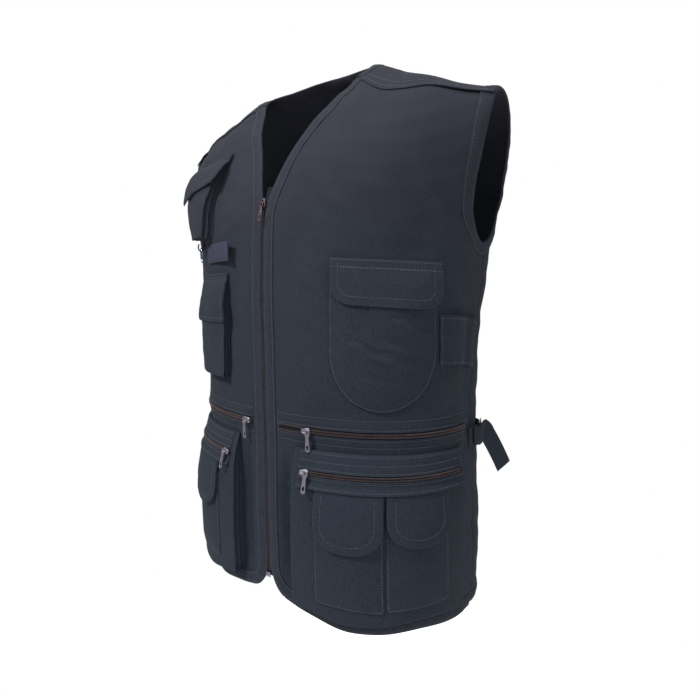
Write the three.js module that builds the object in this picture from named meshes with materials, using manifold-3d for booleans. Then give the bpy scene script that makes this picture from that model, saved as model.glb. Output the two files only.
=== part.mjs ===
import * as THREE from 'three';
import Module from 'manifold-3d';

const wasm = await Module();
wasm.setup();

// Work vest in millimetres: +Z up, front towards -Y, wearer's left towards +X.
// The origin is between the neck points.
const { lerp: mix, clamp, smoothstep } = THREE.MathUtils;

// Cloth and clearances.
const CLOTH = 1.6;
const HALF_CLOTH = CLOTH / 2;
const BINDING = 0.9;
const BINDING_GAP = 0.5;
const LAY_GAP = 0.6;
const BASE = HALF_CLOTH + LAY_GAP;
const POCKET_WALL = 1.3;

// Rounding of the cloth in front of and behind the shoulder line.
const RIDGE_Y = -3;
const NECK_ROUND = 190;
const FRONT_ROUND = 140;
const BACK_ROUND = 120;
const NECK_BOW = 1;
const FRONT_BOW = 0.65;
const BACK_BOW = 0.5;

// Seam and edge positions.
const SIDE_ANGLE = 94;
const UNDERARM_Z = -219;
const SEAM_GAP = 0.3;
const FRONT_EDGE = 4.9;
const FRONT_BAND = 14;
const EDGE_BAND = 15;
const HEM_BAND = 13;
const FLARE = 6;

// Body sections: height, half width, middle depth, depth to the front and back, squareness.
const SECTIONS = [
  { z: -720, half: 202, mid: 14, front: 136, back: 112, power: 2.3 },
  { z: -560, half: 207, mid: 16, front: 136, back: 113, power: 2.35 },
  { z: -430, half: 204, mid: 16, front: 134, back: 112, power: 2.3 },
  { z: -300, half: 211, mid: 18, front: 134, back: 118, power: 2.25 },
  { z: -210, half: 219, mid: 18, front: 130, back: 124, power: 2.25 },
  { z: -120, half: 241, mid: 12, front: 116, back: 122, power: 2.3 },
  { z: -40, half: 264, mid: 4, front: 108, back: 104, power: 2.4 },
  { z: 60, half: 264, mid: 0, front: 104, back: 96, power: 2.4 },
];

// Height of the shoulder line from the neck point outward, and of its run inside the neck.
const SHOULDER_LINE = [
  { x: 93, z: 5 },
  { x: 101, z: 3 },
  { x: 109, z: -1 },
  { x: 124, z: -10 },
  { x: 139, z: -18 },
  { x: 174, z: -30 },
  { x: 204, z: -41 },
  { x: 232, z: -50 },
  { x: 250, z: -55 },
  { x: 280, z: -66 },
];
const FRONT_NECK_LINE = [{ x: 0, z: 5 }];
const BACK_NECK_LINE = [
  { x: 0, z: 54 },
  { x: 50, z: 39.4 },
  { x: 65, z: 27.4 },
  { x: 85, z: 12 },
];

// Front neck edge: distance round from the centre front at each height.
const NECK_EDGE = [
  { z: -165, girth: FRONT_EDGE },
  { z: -153, girth: 8.5 },
  { z: -135, girth: 13 },
  { z: -121, girth: 19 },
  { z: -103, girth: 25.5 },
  { z: -85, girth: 34 },
  { z: -61, girth: 50 },
  { z: -45, girth: 59 },
];

// Front edge of the armhole.
const ARM_FRONT = [
  { z: -211, girth: 284 },
  { z: -201, girth: 272 },
  { z: -184, girth: 259 },
  { z: -162, girth: 256.5 },
  { z: -120, girth: 256.5 },
  { z: -84, girth: 256 },
];

// Back edge of the armhole as an angle round the body.
const ARM_BACK = [
  { z: UNDERARM_Z, angle: SIDE_ANGLE },
  { z: -202, angle: 101 },
  { z: -182, angle: 106 },
  { z: -162, angle: 107.5 },
  { z: -140, angle: 106.5 },
  { z: -116, angle: 105 },
];

// Hem height by distance round from the centre front.
const HEM = [
  { girth: 0, z: -628 },
  { girth: 12, z: -637 },
  { girth: 30, z: -645 },
  { girth: 70, z: -653 },
  { girth: 115, z: -661 },
  { girth: 150, z: -658 },
  { girth: 205, z: -649 },
  { girth: 280, z: -647 },
  { girth: 560, z: -652 },
];

// Shoulder rows of the back: x and drop below the shoulder line at both ends, and a dip between.
// A minus drop is in front of the shoulder line.
const YOKE_ROWS = [
  { neckX: 79, neckDrop: -16, armX: 247, armDrop: -9.8, dip: 1.6 },
  { neckX: 88, neckDrop: -4, armX: 247, armDrop: -3, dip: 0.7 },
  { neckX: 93, neckDrop: 0, armX: 248, armDrop: 0, dip: 0 },
  { neckX: 87, neckDrop: 1.6, armX: 247.5, armDrop: 4, dip: 0 },
  { neckX: 72, neckDrop: 5.5, armX: 246, armDrop: 12, dip: 0 },
  { neckX: 52, neckDrop: 14, armX: 244, armDrop: 26, dip: 0 },
  { neckX: 27, neckDrop: 20.5, armX: 241.5, armDrop: 44, dip: 0 },
  { neckX: 0, neckDrop: 24, armX: 238, armDrop: 66, dip: 0 },
];
const BACK_ROWS = [
  { centre: -14, arm: -140 },
  { centre: -58, arm: -162 },
  { centre: -104, arm: -182 },
  { centre: -150, arm: -202 },
  { centre: -190, arm: UNDERARM_Z },
];

// Rows of the front below the yoke seam, first by shoulder position and then by height.
const FRONT_TOP_ROWS = [
  { neckX: 79.2, neckDrop: -17, armX: 247, armDrop: -11, dip: 1.6 },
  { neckX: 67.5, neckDrop: -33, armX: 244, armDrop: -26.5, dip: 0.9 },
  { neckX: 56, neckDrop: -55, armX: 240.5, armDrop: -47.6, dip: 0 },
];
const FRONT_ROWS = [
  { edge: -74, arm: -120 },
  { edge: -98, arm: -142 },
  { edge: -126, arm: -164 },
  { edge: -165, arm: -184 },
  { edge: -187, arm: -200 },
  { edge: -207, arm: -211 },
  { edge: -228, arm: UNDERARM_Z },
];
const LOWER_ROWS = 8;
const PANEL_COLUMNS = 12;

// Curve through table rows that never overshoots them.
function curve(rows, key, value) {
  const sorted = [...rows].sort((a, b) => a[key] - b[key]);
  const xs = sorted.map((row) => row[key]);
  const ys = sorted.map((row) => row[value]);
  const last = xs.length - 1;
  const rise = ys.slice(1).map((y, i) => (y - ys[i]) / (xs[i + 1] - xs[i]));
  const slope = ys.map((y, i) => {
    if (i === 0) return rise[0];
    if (i === last) return rise[last - 1];
    const product = rise[i - 1] * rise[i];
    return product <= 0 ? 0 : (2 * product) / (rise[i - 1] + rise[i]);
  });
  return (x) => {
    const at = clamp(x, xs[0], xs[last]);
    let i = 0;
    while (i < last - 1 && at > xs[i + 1]) i += 1;
    const width = xs[i + 1] - xs[i];
    const t = (at - xs[i]) / width;
    const ease = t * t * (3 - 2 * t);
    const start = t * (1 - t) * (1 - t) * width * slope[i];
    const end = t * t * (t - 1) * width * slope[i + 1];
    return mix(ys[i], ys[i + 1], ease) + start + end;
  };
}

const halfAt = curve(SECTIONS, 'z', 'half');
const midAt = curve(SECTIONS, 'z', 'mid');
const frontAt = curve(SECTIONS, 'z', 'front');
const backAt = curve(SECTIONS, 'z', 'back');
const powerAt = curve(SECTIONS, 'z', 'power');
const neckEdgeAt = curve(NECK_EDGE, 'z', 'girth');
const armFrontAt = curve(ARM_FRONT, 'z', 'girth');
const armBackAt = curve(ARM_BACK, 'z', 'angle');
const hemAt = curve(HEM, 'girth', 'z');

// Worn form of the body: angle 0 at the centre front, 90 at the wearer's left, 180 at the centre back.
const frontRidgeAt = curve([...FRONT_NECK_LINE, ...SHOULDER_LINE], 'x', 'z');
const backRidgeAt = curve([...BACK_NECK_LINE, ...SHOULDER_LINE], 'x', 'z');

function ridgeHeight(x, isFront) {
  return isFront ? frontRidgeAt(Math.abs(x)) : backRidgeAt(Math.abs(x));
}

function formPoint(angle, z) {
  const turn = THREE.MathUtils.degToRad(angle);
  const side = Math.sin(turn);
  const face = Math.cos(turn);
  const isFront = face > 0;
  const reach = 2 / powerAt(z);
  const x = halfAt(z) * Math.sign(side) * Math.abs(side) ** reach;
  const depth = isFront ? frontAt(z) : backAt(z);
  const outer = smoothstep(Math.abs(x), 60, 170);
  const round = isFront ? mix(NECK_ROUND, FRONT_ROUND, outer) : BACK_ROUND;
  const bow = isFront ? mix(NECK_BOW, FRONT_BOW, outer) : BACK_BOW;
  const shellY = midAt(z) - Math.sign(face) * depth * Math.abs(face) ** reach;
  const drop = clamp((ridgeHeight(x, isFront) - z) / round, 0, 1);
  const pinch = (1 - (1 - drop) ** 2) ** bow;
  return new THREE.Vector3(x, RIDGE_Y + (shellY - RIDGE_Y) * pinch, z);
}

function formNormal(angle, z) {
  const along = formPoint(angle + 0.8, z).sub(formPoint(angle - 0.8, z));
  const up = formPoint(angle, z + 2).sub(formPoint(angle, z - 2));
  return along.cross(up).normalize();
}

// Point near the shoulder from x and the drop, minus in front of the shoulder line.
function shoulderPoint(x, rootDrop) {
  const z = ridgeHeight(x, rootDrop < 0) - rootDrop * rootDrop;
  const side = Math.min(1, Math.abs(x) / halfAt(z)) ** (powerAt(z) / 2);
  const turn = THREE.MathUtils.radToDeg(Math.asin(side));
  return formPoint(rootDrop < 0 ? turn : 180 - turn, z);
}

const girthTables = new Map();

function girthTable(z) {
  const key = Math.round(z * 2);
  if (!girthTables.has(key)) {
    const lengths = [0];
    let from = formPoint(0, key / 2);
    for (let degree = 1; degree <= 180; degree += 1) {
      const to = formPoint(degree, key / 2);
      lengths.push(lengths[degree - 1] + from.distanceTo(to));
      from = to;
    }
    girthTables.set(key, lengths);
  }
  return girthTables.get(key);
}

function angleAt(girth, z) {
  const lengths = girthTable(z);
  const length = Math.abs(girth);
  let degree = lengths.findIndex((reached) => reached > length);
  degree = degree < 1 ? 180 : degree;
  const part = (length - lengths[degree - 1]) / (lengths[degree] - lengths[degree - 1]);
  return Math.sign(girth) * (degree - 1 + part);
}

function girthAt(angle, z) {
  const lengths = girthTable(z);
  const degree = Math.min(179, Math.floor(angle));
  return mix(lengths[degree], lengths[degree + 1], angle - degree);
}

// Point on the body by distance round from the centre front, height and lift off the cloth's middle.
function onBody(girth, z, lift = 0) {
  const angle = angleAt(girth, z);
  return formPoint(angle, z).addScaledVector(formNormal(angle, z), lift);
}

function sideGirth(z) {
  return girthAt(SIDE_ANGLE, z);
}

// Solids are welded points with triangles facing outward.
function signedVolume({ points, triangles }) {
  const cross = new THREE.Vector3();
  return triangles.reduce((sum, [a, b, c]) => {
    return sum + points[a].dot(cross.crossVectors(points[b], points[c])) / 6;
  }, 0);
}

function facingOut(solid) {
  if (signedVolume(solid) > 0) return solid;
  return { points: solid.points, triangles: solid.triangles.map(([a, b, c]) => [a, c, b]) };
}

function mirrored({ points, triangles }) {
  const flipped = points.map((point) => new THREE.Vector3(-point.x, point.y, point.z));
  return { points: flipped, triangles: triangles.map(([a, b, c]) => [a, c, b]) };
}

function placed({ points, triangles }, matrix) {
  return { points: points.map((point) => point.clone().applyMatrix4(matrix)), triangles };
}

function welded(geometry) {
  const position = geometry.getAttribute('position');
  const order = geometry.index ? [...geometry.index.array] : [...Array(position.count).keys()];
  const points = [];
  const known = new Map();
  const indices = order.map((vertex) => {
    const point = new THREE.Vector3().fromBufferAttribute(position, vertex);
    const key = point.toArray().map((value) => Math.round(value * 1e4)).join();
    if (!known.has(key)) {
      known.set(key, points.length);
      points.push(point);
    }
    return known.get(key);
  });
  const triangles = [];
  for (let i = 0; i < indices.length; i += 3) {
    const [a, b, c] = indices.slice(i, i + 3);
    if (a !== b && b !== c && c !== a) triangles.push([a, b, c]);
  }
  return facingOut({ points, triangles });
}

function toManifold({ points, triangles }) {
  const vertProperties = new Float32Array(points.flatMap((point) => point.toArray()));
  const triVerts = new Uint32Array(triangles.flat());
  return new wasm.Manifold(new wasm.Mesh({ numProp: 3, vertProperties, triVerts }));
}

function fromManifold(manifold) {
  const { vertProperties, triVerts, numProp } = manifold.getMesh();
  const points = [];
  for (let i = 0; i < vertProperties.length; i += numProp) {
    points.push(new THREE.Vector3(vertProperties[i], vertProperties[i + 1], vertProperties[i + 2]));
  }
  const triangles = [];
  for (let i = 0; i < triVerts.length; i += 3) {
    triangles.push([triVerts[i], triVerts[i + 1], triVerts[i + 2]]);
  }
  return { points, triangles };
}

function joined(...solids) {
  return fromManifold(solids.map(toManifold).reduce((sum, next) => sum.add(next)));
}

// Sheets are grids of points; a skipped cell is a hole.
function gridCells(rows, columns, skip = () => false) {
  const at = (row, column) => row * (columns + 1) + column;
  const cells = [];
  for (let row = 0; row < rows; row += 1) {
    for (let column = 0; column < columns; column += 1) {
      if (!skip(row, column)) {
        cells.push([at(row, column), at(row + 1, column), at(row + 1, column + 1), at(row, column + 1)]);
      }
    }
  }
  return cells;
}

function gridPoints(rows, columns, place) {
  const points = [];
  for (let row = 0; row <= rows; row += 1) {
    for (let column = 0; column <= columns; column += 1) points.push(place(row, column));
  }
  return points;
}

// Two triangles of a four-sided cell, cut along its shorter diagonal.
function splitCell(points, a, b, c, d) {
  const across = points[a].distanceTo(points[c]) - points[b].distanceTo(points[d]);
  return across <= 0 ? [[a, b, c], [a, c, d]] : [[a, b, d], [b, c, d]];
}

// Closed wall between two layers of the same sheet.
function wallBetween(cells, outer, inner) {
  const count = outer.length;
  const triangles = [];
  const edges = new Map();
  cells.forEach((cell) => {
    splitCell(outer, ...cell).forEach(([a, b, c]) => {
      triangles.push([a, b, c], [a + count, c + count, b + count]);
    });
    cell.forEach((from, corner) => {
      const to = cell[(corner + 1) % cell.length];
      if (!edges.delete(`${to} ${from}`)) edges.set(`${from} ${to}`, [from, to]);
    });
  });
  edges.forEach(([from, to]) => {
    triangles.push([from, from + count, to + count], [from, to + count, to]);
  });
  const points = [...outer, ...inner];
  const used = new Map();
  const kept = [];
  const compact = triangles.map((triangle) => triangle.map((index) => {
    if (!used.has(index)) {
      used.set(index, kept.length);
      kept.push(points[index]);
    }
    return used.get(index);
  }));
  return facingOut({ points: kept, triangles: compact });
}

function sheetNormals(points, cells) {
  const normals = points.map(() => new THREE.Vector3());
  cells.forEach((cell) => {
    const [a, b, c, d] = cell.map((index) => points[index]);
    const normal = c.clone().sub(a).cross(d.clone().sub(b));
    cell.forEach((index) => normals[index].add(normal));
  });
  return normals.map((normal) => normal.normalize());
}

function thickSheet({ points, cells, normals }, half = HALF_CLOTH) {
  const layer = (lift) => points.map((point, i) => point.clone().addScaledVector(normals[i], lift));
  return wallBetween(cells, layer(half), layer(-half));
}

// Largest piece left of a solid after another is cut from it.
function trimmed(solid, cutter) {
  const pieces = toManifold(solid).subtract(toManifold(cutter)).decompose();
  return fromManifold(pieces.sort((a, b) => b.volume() - a.volume())[0]);
}

// Solid through a run of equal rings; caps lists the end faces of a hollow section.
function ringSolid(rings, closed = false, caps = null) {
  const size = rings[0].length;
  const points = rings.flat();
  const triangles = [];
  const spans = closed ? rings.length : rings.length - 1;
  for (let span = 0; span < spans; span += 1) {
    const here = span * size;
    const next = ((span + 1) % rings.length) * size;
    for (let k = 0; k < size; k += 1) {
      const l = (k + 1) % size;
      triangles.push(...splitCell(points, here + k, here + l, next + l, next + k));
    }
  }
  if (!closed) {
    const fan = [...Array(size - 2).keys()].map((k) => [0, k + 1, k + 2]);
    const end = (rings.length - 1) * size;
    (caps ?? fan).forEach(([a, b, c]) => {
      triangles.push([a, c, b], [end + a, end + b, end + c]);
    });
  }
  return facingOut({ points, triangles });
}

// Folded binding round an edge: each station has the edge and a point inside it on the cloth.
const BINDING_CAPS = [[0, 1, 2], [0, 2, 7], [2, 3, 7], [3, 6, 7], [3, 4, 5], [3, 5, 6]];

function bindingSolid(stations, closed = false) {
  const near = HALF_CLOTH + BINDING_GAP;
  const far = near + BINDING;
  const rings = stations.map(({ edge, inside, edgeNormal, insideNormal }) => {
    const out = edge.clone().sub(inside).normalize();
    const at = (point, normal, lift, past) => {
      return point.clone().addScaledVector(normal, lift).addScaledVector(out, past);
    };
    return [
      at(inside, insideNormal, near, 0),
      at(inside, insideNormal, far, 0),
      at(edge, edgeNormal, far, BINDING_GAP + BINDING),
      at(edge, edgeNormal, -far, BINDING_GAP + BINDING),
      at(inside, insideNormal, -far, 0),
      at(inside, insideNormal, -near, 0),
      at(edge, edgeNormal, -near, BINDING_GAP),
      at(edge, edgeNormal, near, BINDING_GAP),
    ];
  });
  return ringSolid(rings, closed, BINDING_CAPS);
}

// Column positions across a row: a band at each edge and even steps between.
function bandedColumns(length, firstBand, lastBand, columns) {
  const inner = length - firstBand - lastBand;
  return [...Array(columns + 1).keys()].map((column) => {
    if (column === 0) return 0;
    if (column === columns) return 1;
    return (firstBand + (inner * (column - 1)) / (columns - 2)) / length;
  });
}

const root = (drop) => Math.sign(drop) * Math.sqrt(Math.abs(drop));

function shoulderRow({ neckX, neckDrop, armX, armDrop, dip }, fromNeck) {
  const length = armX - neckX;
  const bands = fromNeck ? [FRONT_BAND, EDGE_BAND] : [EDGE_BAND, EDGE_BAND];
  return bandedColumns(length, ...bands, PANEL_COLUMNS).map((part) => {
    const share = fromNeck ? part : 1 - part;
    const sag = dip * Math.sin(Math.PI * Math.sqrt(share)) ** 2;
    return shoulderPoint(mix(neckX, armX, share), mix(root(neckDrop), root(armDrop), share) - sag);
  });
}

// Left front from the yoke seam to the hem, columns from the front edge to the armhole and side seam.
function frontSheet() {
  const rows = FRONT_TOP_ROWS.map((row) => shoulderRow(row, true));
  FRONT_ROWS.forEach(({ edge, arm }) => {
    const start = neckEdgeAt(edge);
    const end = arm === UNDERARM_Z ? sideGirth(arm) - SEAM_GAP : armFrontAt(arm);
    rows.push(bandedColumns(end - start, FRONT_BAND, EDGE_BAND, PANEL_COLUMNS).map((part) => {
      return onBody(mix(start, end, part), mix(edge, arm, part));
    }));
  });
  const from = FRONT_ROWS[FRONT_ROWS.length - 1];
  for (let step = 1; step <= LOWER_ROWS; step += 1) {
    const guess = mix(from.edge, -650, step / LOWER_ROWS);
    const end = sideGirth(guess) - SEAM_GAP;
    rows.push(bandedColumns(end - FRONT_EDGE, FRONT_BAND, EDGE_BAND, PANEL_COLUMNS).map((part) => {
      const girth = mix(FRONT_EDGE, end, part);
      const hem = hemAt(girth);
      const top = mix(from.edge, from.arm, part);
      const z = step === LOWER_ROWS ? hem : mix(top, hem + HEM_BAND, step / (LOWER_ROWS - 1));
      return onBody(mix(FRONT_EDGE, sideGirth(z) - SEAM_GAP, part), z);
    }));
  }
  return rows;
}

// Left half of the back over the shoulder to the yoke seam, columns from the armhole to the centre.
function backRows() {
  const rows = YOKE_ROWS.map((row) => shoulderRow(row, false));
  const lowest = BACK_ROWS[BACK_ROWS.length - 1];
  const levels = [...BACK_ROWS];
  for (let step = 1; step <= LOWER_ROWS; step += 1) levels.push({ step });
  levels.forEach(({ centre, arm, step }) => {
    const angle = step ? SIDE_ANGLE : armBackAt(arm);
    const gap = angle === SIDE_ANGLE ? SEAM_GAP : 0;
    const level = step ? mix(UNDERARM_Z, -650, step / LOWER_ROWS) : arm;
    const start = girthAt(angle, level) + gap;
    const end = girthAt(180, level);
    rows.push(bandedColumns(end - start, EDGE_BAND, EDGE_BAND, PANEL_COLUMNS).map((part) => {
      const hem = hemAt(mix(start, end, part));
      let z = mix(arm, centre, part);
      if (step) z = mix(mix(lowest.arm, lowest.centre, part), hem + HEM_BAND, step / (LOWER_ROWS - 1));
      if (step === LOWER_ROWS) z = hem;
      const first = girthAt(angle, z) + gap;
      return onBody(mix(first, girthAt(180, z), part), z);
    }));
  });
  return rows.map((row, index) => flaredRow(row, index));
}

// The back armhole edge stands away from the body.
function flaredRow(row, index) {
  const tip = 2;
  const underarm = YOKE_ROWS.length + BACK_ROWS.length - 1;
  if (index <= tip || index >= underarm) return row;
  const rise = Math.sin((Math.PI * (index - tip)) / (underarm - tip)) ** 0.7;
  return row.map((point, column) => {
    const away = 1 - smoothstep(column, 0, 4);
    const push = FLARE * rise * away;
    return point.clone().add(new THREE.Vector3(0.86, 0.5, 0).multiplyScalar(push));
  });
}

const frontGrid = frontSheet();
const frontCells = gridCells(frontGrid.length - 1, PANEL_COLUMNS);
const front = { points: frontGrid.flat(), cells: frontCells };
front.normals = sheetNormals(front.points, front.cells);

// Both halves of the back share the centre column below the neckline.
const backGrid = backRows();
const backWidth = PANEL_COLUMNS + 1;
const backCells = gridCells(backGrid.length - 1, PANEL_COLUMNS);
const leftBack = backGrid.flat();
const rightIndex = new Map();
const backPoints = [...leftBack];
leftBack.forEach((point, index) => {
  const onCentre = index % backWidth === PANEL_COLUMNS && index >= (YOKE_ROWS.length - 1) * backWidth;
  if (onCentre) {
    point.x = 0;
    rightIndex.set(index, index);
  } else {
    rightIndex.set(index, backPoints.length);
    backPoints.push(new THREE.Vector3(-point.x, point.y, point.z));
  }
});
const rightCells = backCells.map((cell) => [...cell].reverse().map((index) => rightIndex.get(index)));
const back = { points: backPoints, cells: [...backCells, ...rightCells] };
back.normals = sheetNormals(back.points, back.cells);

function station(sheet, columns, row, column, insideRow, insideColumn) {
  const edge = row * (columns + 1) + column;
  const inside = insideRow * (columns + 1) + insideColumn;
  return {
    edge: sheet.points[edge],
    inside: sheet.points[inside],
    edgeNormal: sheet.normals[edge],
    insideNormal: sheet.normals[inside],
  };
}

const range = (from, to) => {
  const step = Math.sign(to - from) || 1;
  return [...Array(Math.abs(to - from) + 1).keys()].map((index) => from + index * step);
};

function frontBinding() {
  const last = frontGrid.length - 1;
  const columns = PANEL_COLUMNS;
  const down = range(0, last).map((row) => station(front, columns, row, 0, row, 1));
  const along = range(0, columns).map((column) => station(front, columns, last, column, last - 1, column));
  return joined(bindingSolid(down), bindingSolid(along));
}

function armholeBinding() {
  const columns = PANEL_COLUMNS;
  const underarmFront = FRONT_TOP_ROWS.length + FRONT_ROWS.length - 1;
  const underarmBack = YOKE_ROWS.length + BACK_ROWS.length - 1;
  const below = UNDERARM_Z - EDGE_BAND;
  const angle = SIDE_ANGLE;
  const bottom = {
    edge: formPoint(angle, UNDERARM_Z),
    inside: formPoint(angle, below),
    edgeNormal: formNormal(angle, UNDERARM_Z),
    insideNormal: formNormal(angle, below),
  };
  const rise = range(1, underarmFront - 1).map((row) => {
    return station(front, columns, row, columns, row, columns - 1);
  });
  const over = range(underarmBack - 1, 0).map((row) => station(back, columns, row, 0, row, 1));
  return bindingSolid([...rise, bottom, ...over], true);
}

function neckBinding() {
  const columns = PANEL_COLUMNS;
  const turn = YOKE_ROWS.length - 1;
  const left = range(0, turn - 1).map((row) => {
    const made = station(back, columns, row, columns, row, columns - 1);
    if (row < 3) return made;
    const { neckX, neckDrop } = YOKE_ROWS[row];
    const lean = neckX / YOKE_ROWS[2].neckX;
    const inside = shoulderPoint(neckX + EDGE_BAND * lean, root(neckDrop + EDGE_BAND * (1 - lean * 0.6)));
    return { ...made, inside };
  });
  const low = shoulderPoint(0, root(YOKE_ROWS[turn].neckDrop + EDGE_BAND));
  const centre = { ...station(back, columns, turn, columns, turn, columns), inside: low };
  const flip = (vector) => new THREE.Vector3(-vector.x, vector.y, vector.z);
  const right = [...left].reverse().map((made) => ({
    edge: flip(made.edge),
    inside: flip(made.inside),
    edgeNormal: flip(made.edgeNormal),
    insideNormal: flip(made.insideNormal),
  }));
  return bindingSolid([...left, centre, ...right]);
}

function backHemBinding() {
  const last = backGrid.length - 1;
  const columns = PANEL_COLUMNS;
  const left = range(0, columns - 1).map((column) => station(back, columns, last, column, last - 1, column));
  const centre = station(back, columns, last, columns, last - 1, columns);
  const flip = (vector) => new THREE.Vector3(-vector.x, vector.y, vector.z);
  const right = [...left].reverse().map((made) => ({
    edge: flip(made.edge),
    inside: flip(made.inside),
    edgeNormal: flip(made.edgeNormal),
    insideNormal: flip(made.insideNormal),
  }));
  return bindingSolid([...left, centre, ...right]);
}

// Flat bar laid on a surface: stations run along it, width across and two lifts.
function laidBar(place, from, to, steps, halfWidth, low, high) {
  const rings = range(0, steps).map((step) => {
    const along = mix(from, to, step / steps);
    const middle = (low + high) / 2;
    return [
      place(along, -halfWidth, middle),
      place(along, -halfWidth * 0.55, high),
      place(along, halfWidth * 0.55, high),
      place(along, halfWidth, middle),
      place(along, halfWidth * 0.55, low),
      place(along, -halfWidth * 0.55, low),
    ];
  });
  return ringSolid(rings);
}

// Cloth patch on a surface from a table of rows: height and the two side positions.
function patch(surface, table, columns, { tilt = 0, base, wall, bulge, hang = 0 }) {
  const rows = table.length - 1;
  const layer = (extra) => gridPoints(rows, columns, (row, column) => {
    const across = column / columns;
    const down = row / rows;
    const { z, left, right } = table[row];
    const girth = mix(left, right, across);
    const swell = bulge * Math.sin(Math.PI * across) ** 0.6 * Math.sin(Math.PI * down) ** 0.6;
    const lift = base + swell + hang * down ** 0.5 + extra;
    return surface(girth, z + tilt * across, lift);
  });
  return wallBetween(gridCells(rows, columns), layer(wall), layer(0));
}

// Bellows pocket: sides, bottom and a face that stands off the cloth, open at the back.
function bellows(surface, { left, right, top, bottom, depths, columns, taper = () => 1 }) {
  const wall = POCKET_WALL;
  const sides = [{ in: 0, rise: 0 }, { in: -1.5, rise: 0.5 }, { in: 2, rise: 1 }];
  const inner = range(1, columns - 1).map((step) => ({ share: step / columns }));
  const profile = [...sides, ...inner, ...[...sides].reverse().map((side) => ({ ...side, end: true }))];
  const last = profile.length - 1;
  const feet = [{ up: 3, rise: 1 }, { up: -1.2, rise: 0.5 }, { up: 0, rise: 0 }];
  const rows = [...depths.map((level) => ({ ...level, rise: 1 })), ...feet];
  const place = (inside) => (row, column) => {
    const { in: inset = 0, rise = 1, share, end } = profile[column];
    const level = rows[row];
    const low = left(level.v ?? 1);
    const high = right(level.v ?? 1);
    let girth = share === undefined ? 0 : mix(low, high, share);
    const step = inset + (inside ? wall : 0);
    if (share === undefined) girth = end ? high - step : low + step;
    const foot = bottom(girth) + (inside ? wall : 0);
    let z = level.v === undefined ? foot + level.up : mix(top, bottom(girth) + 3, level.v);
    const full = level.depth ?? depths[depths.length - 1].depth;
    if (inside && level.v === undefined && level.rise === 1) z -= wall * 0.4;
    const stand = Math.max(wall, full * taper(girth)) * Math.min(rise, level.rise);
    const depth = Math.max(0, stand - (inside && rise * level.rise > 0 ? wall : 0));
    return surface(girth, z, BASE + depth);
  };
  const cells = gridCells(rows.length - 1, last);
  return wallBetween(
    cells,
    gridPoints(rows.length - 1, last, place(false)),
    gridPoints(rows.length - 1, last, place(true)),
  );
}

// Frame strip on a surface with a long slot.
function slottedStrip(surface, { from, to, columns, top, slotTop, slotBottom, bottom, base, wall }) {
  const heights = [top, slotTop, slotBottom, bottom];
  const ends = [0, 5, to - from - 5, to - from];
  const steps = range(0, columns).map((column) => {
    if (column === 0) return ends[0];
    if (column === columns) return ends[3];
    return mix(ends[1], ends[2], (column - 1) / (columns - 2));
  });
  const layer = (lift) => gridPoints(3, columns, (row, column) => {
    return surface(from + steps[column], heights[row], lift);
  });
  const cells = gridCells(3, columns, (row, column) => row === 1 && column > 0 && column < columns - 1);
  return wallBetween(cells, layer(base + wall), layer(base));
}

// Local frame on a surface: x round the body, y up, z outward.
function frameOn(surface, girth, z, lift, reach = 6) {
  const origin = surface(girth, z, lift);
  const along = surface(girth + 3, z, lift).sub(surface(girth - 3, z, lift)).normalize();
  const up = surface(girth, z + reach, lift).sub(surface(girth, z - reach, lift)).normalize();
  const out = along.clone().cross(up).normalize();
  const rise = out.clone().cross(along);
  return new THREE.Matrix4().makeBasis(along, rise, out).setPosition(origin);
}

function extruded(shape, depth, curveSegments = 8) {
  return welded(new THREE.ExtrudeGeometry(shape, { depth, bevelEnabled: false, curveSegments }));
}

// Zip slider: shield plate with an arched bridge along x.
const PLATE = 2;
const BRIDGE = { inner: 2.4, outer: 3.6, leg: 1.2, width: 1.6 };
const PULL_SINK = 0.5;
const PULL_THICK = 1.2;

function sliderSolid() {
  const plate = new THREE.Shape();
  plate.moveTo(-6, -2.6);
  plate.lineTo(1, -4.3);
  plate.lineTo(5, -4.3);
  plate.lineTo(6, -3.2);
  plate.lineTo(6, 3.2);
  plate.lineTo(5, 4.3);
  plate.lineTo(1, 4.3);
  plate.lineTo(-6, 2.6);
  plate.closePath();
  const bridge = new THREE.Shape();
  bridge.moveTo(BRIDGE.outer, -0.6);
  bridge.lineTo(BRIDGE.outer, BRIDGE.leg);
  bridge.absarc(0, BRIDGE.leg, BRIDGE.outer, 0, Math.PI, false);
  bridge.lineTo(-BRIDGE.outer, -0.6);
  bridge.lineTo(-BRIDGE.inner, -0.6);
  bridge.lineTo(-BRIDGE.inner, BRIDGE.leg);
  bridge.absarc(0, BRIDGE.leg, BRIDGE.inner, Math.PI, 0, true);
  bridge.lineTo(BRIDGE.inner, -0.6);
  bridge.closePath();
  const arch = extruded(bridge, BRIDGE.width, 6);
  const upright = new THREE.Matrix4().makeRotationX(Math.PI / 2).setPosition(0, BRIDGE.width / 2, PLATE);
  return joined(extruded(plate, PLATE), placed(arch, upright));
}

// Tongue of a pull hanging along -y from its pivot, with an oval hole near the end.
function pullShape(length, headHalf, headTop) {
  const endHalf = 3.2;
  const shape = new THREE.Shape();
  shape.moveTo(-headHalf, headTop);
  shape.lineTo(-headHalf, -4.6);
  shape.lineTo(-2, -6.4);
  shape.lineTo(-endHalf, -length + endHalf);
  shape.absarc(0, -length + endHalf, endHalf, Math.PI, Math.PI * 2, false);
  shape.lineTo(2, -6.4);
  shape.lineTo(headHalf, -4.6);
  shape.lineTo(headHalf, headTop);
  shape.closePath();
  const hole = new THREE.Path();
  hole.absellipse(0, -length + 5.4, 1.6, 3, 0, Math.PI * 2, true, 0);
  shape.holes.push(hole);
  return shape;
}

function hangingPull(length) {
  const shape = pullShape(length, 3, 2.6);
  const eye = new THREE.Path();
  eye.absarc(0, 0, 1.8, 0, Math.PI * 2, true);
  shape.holes.push(eye);
  return extruded(shape, PULL_THICK, 6);
}

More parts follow.
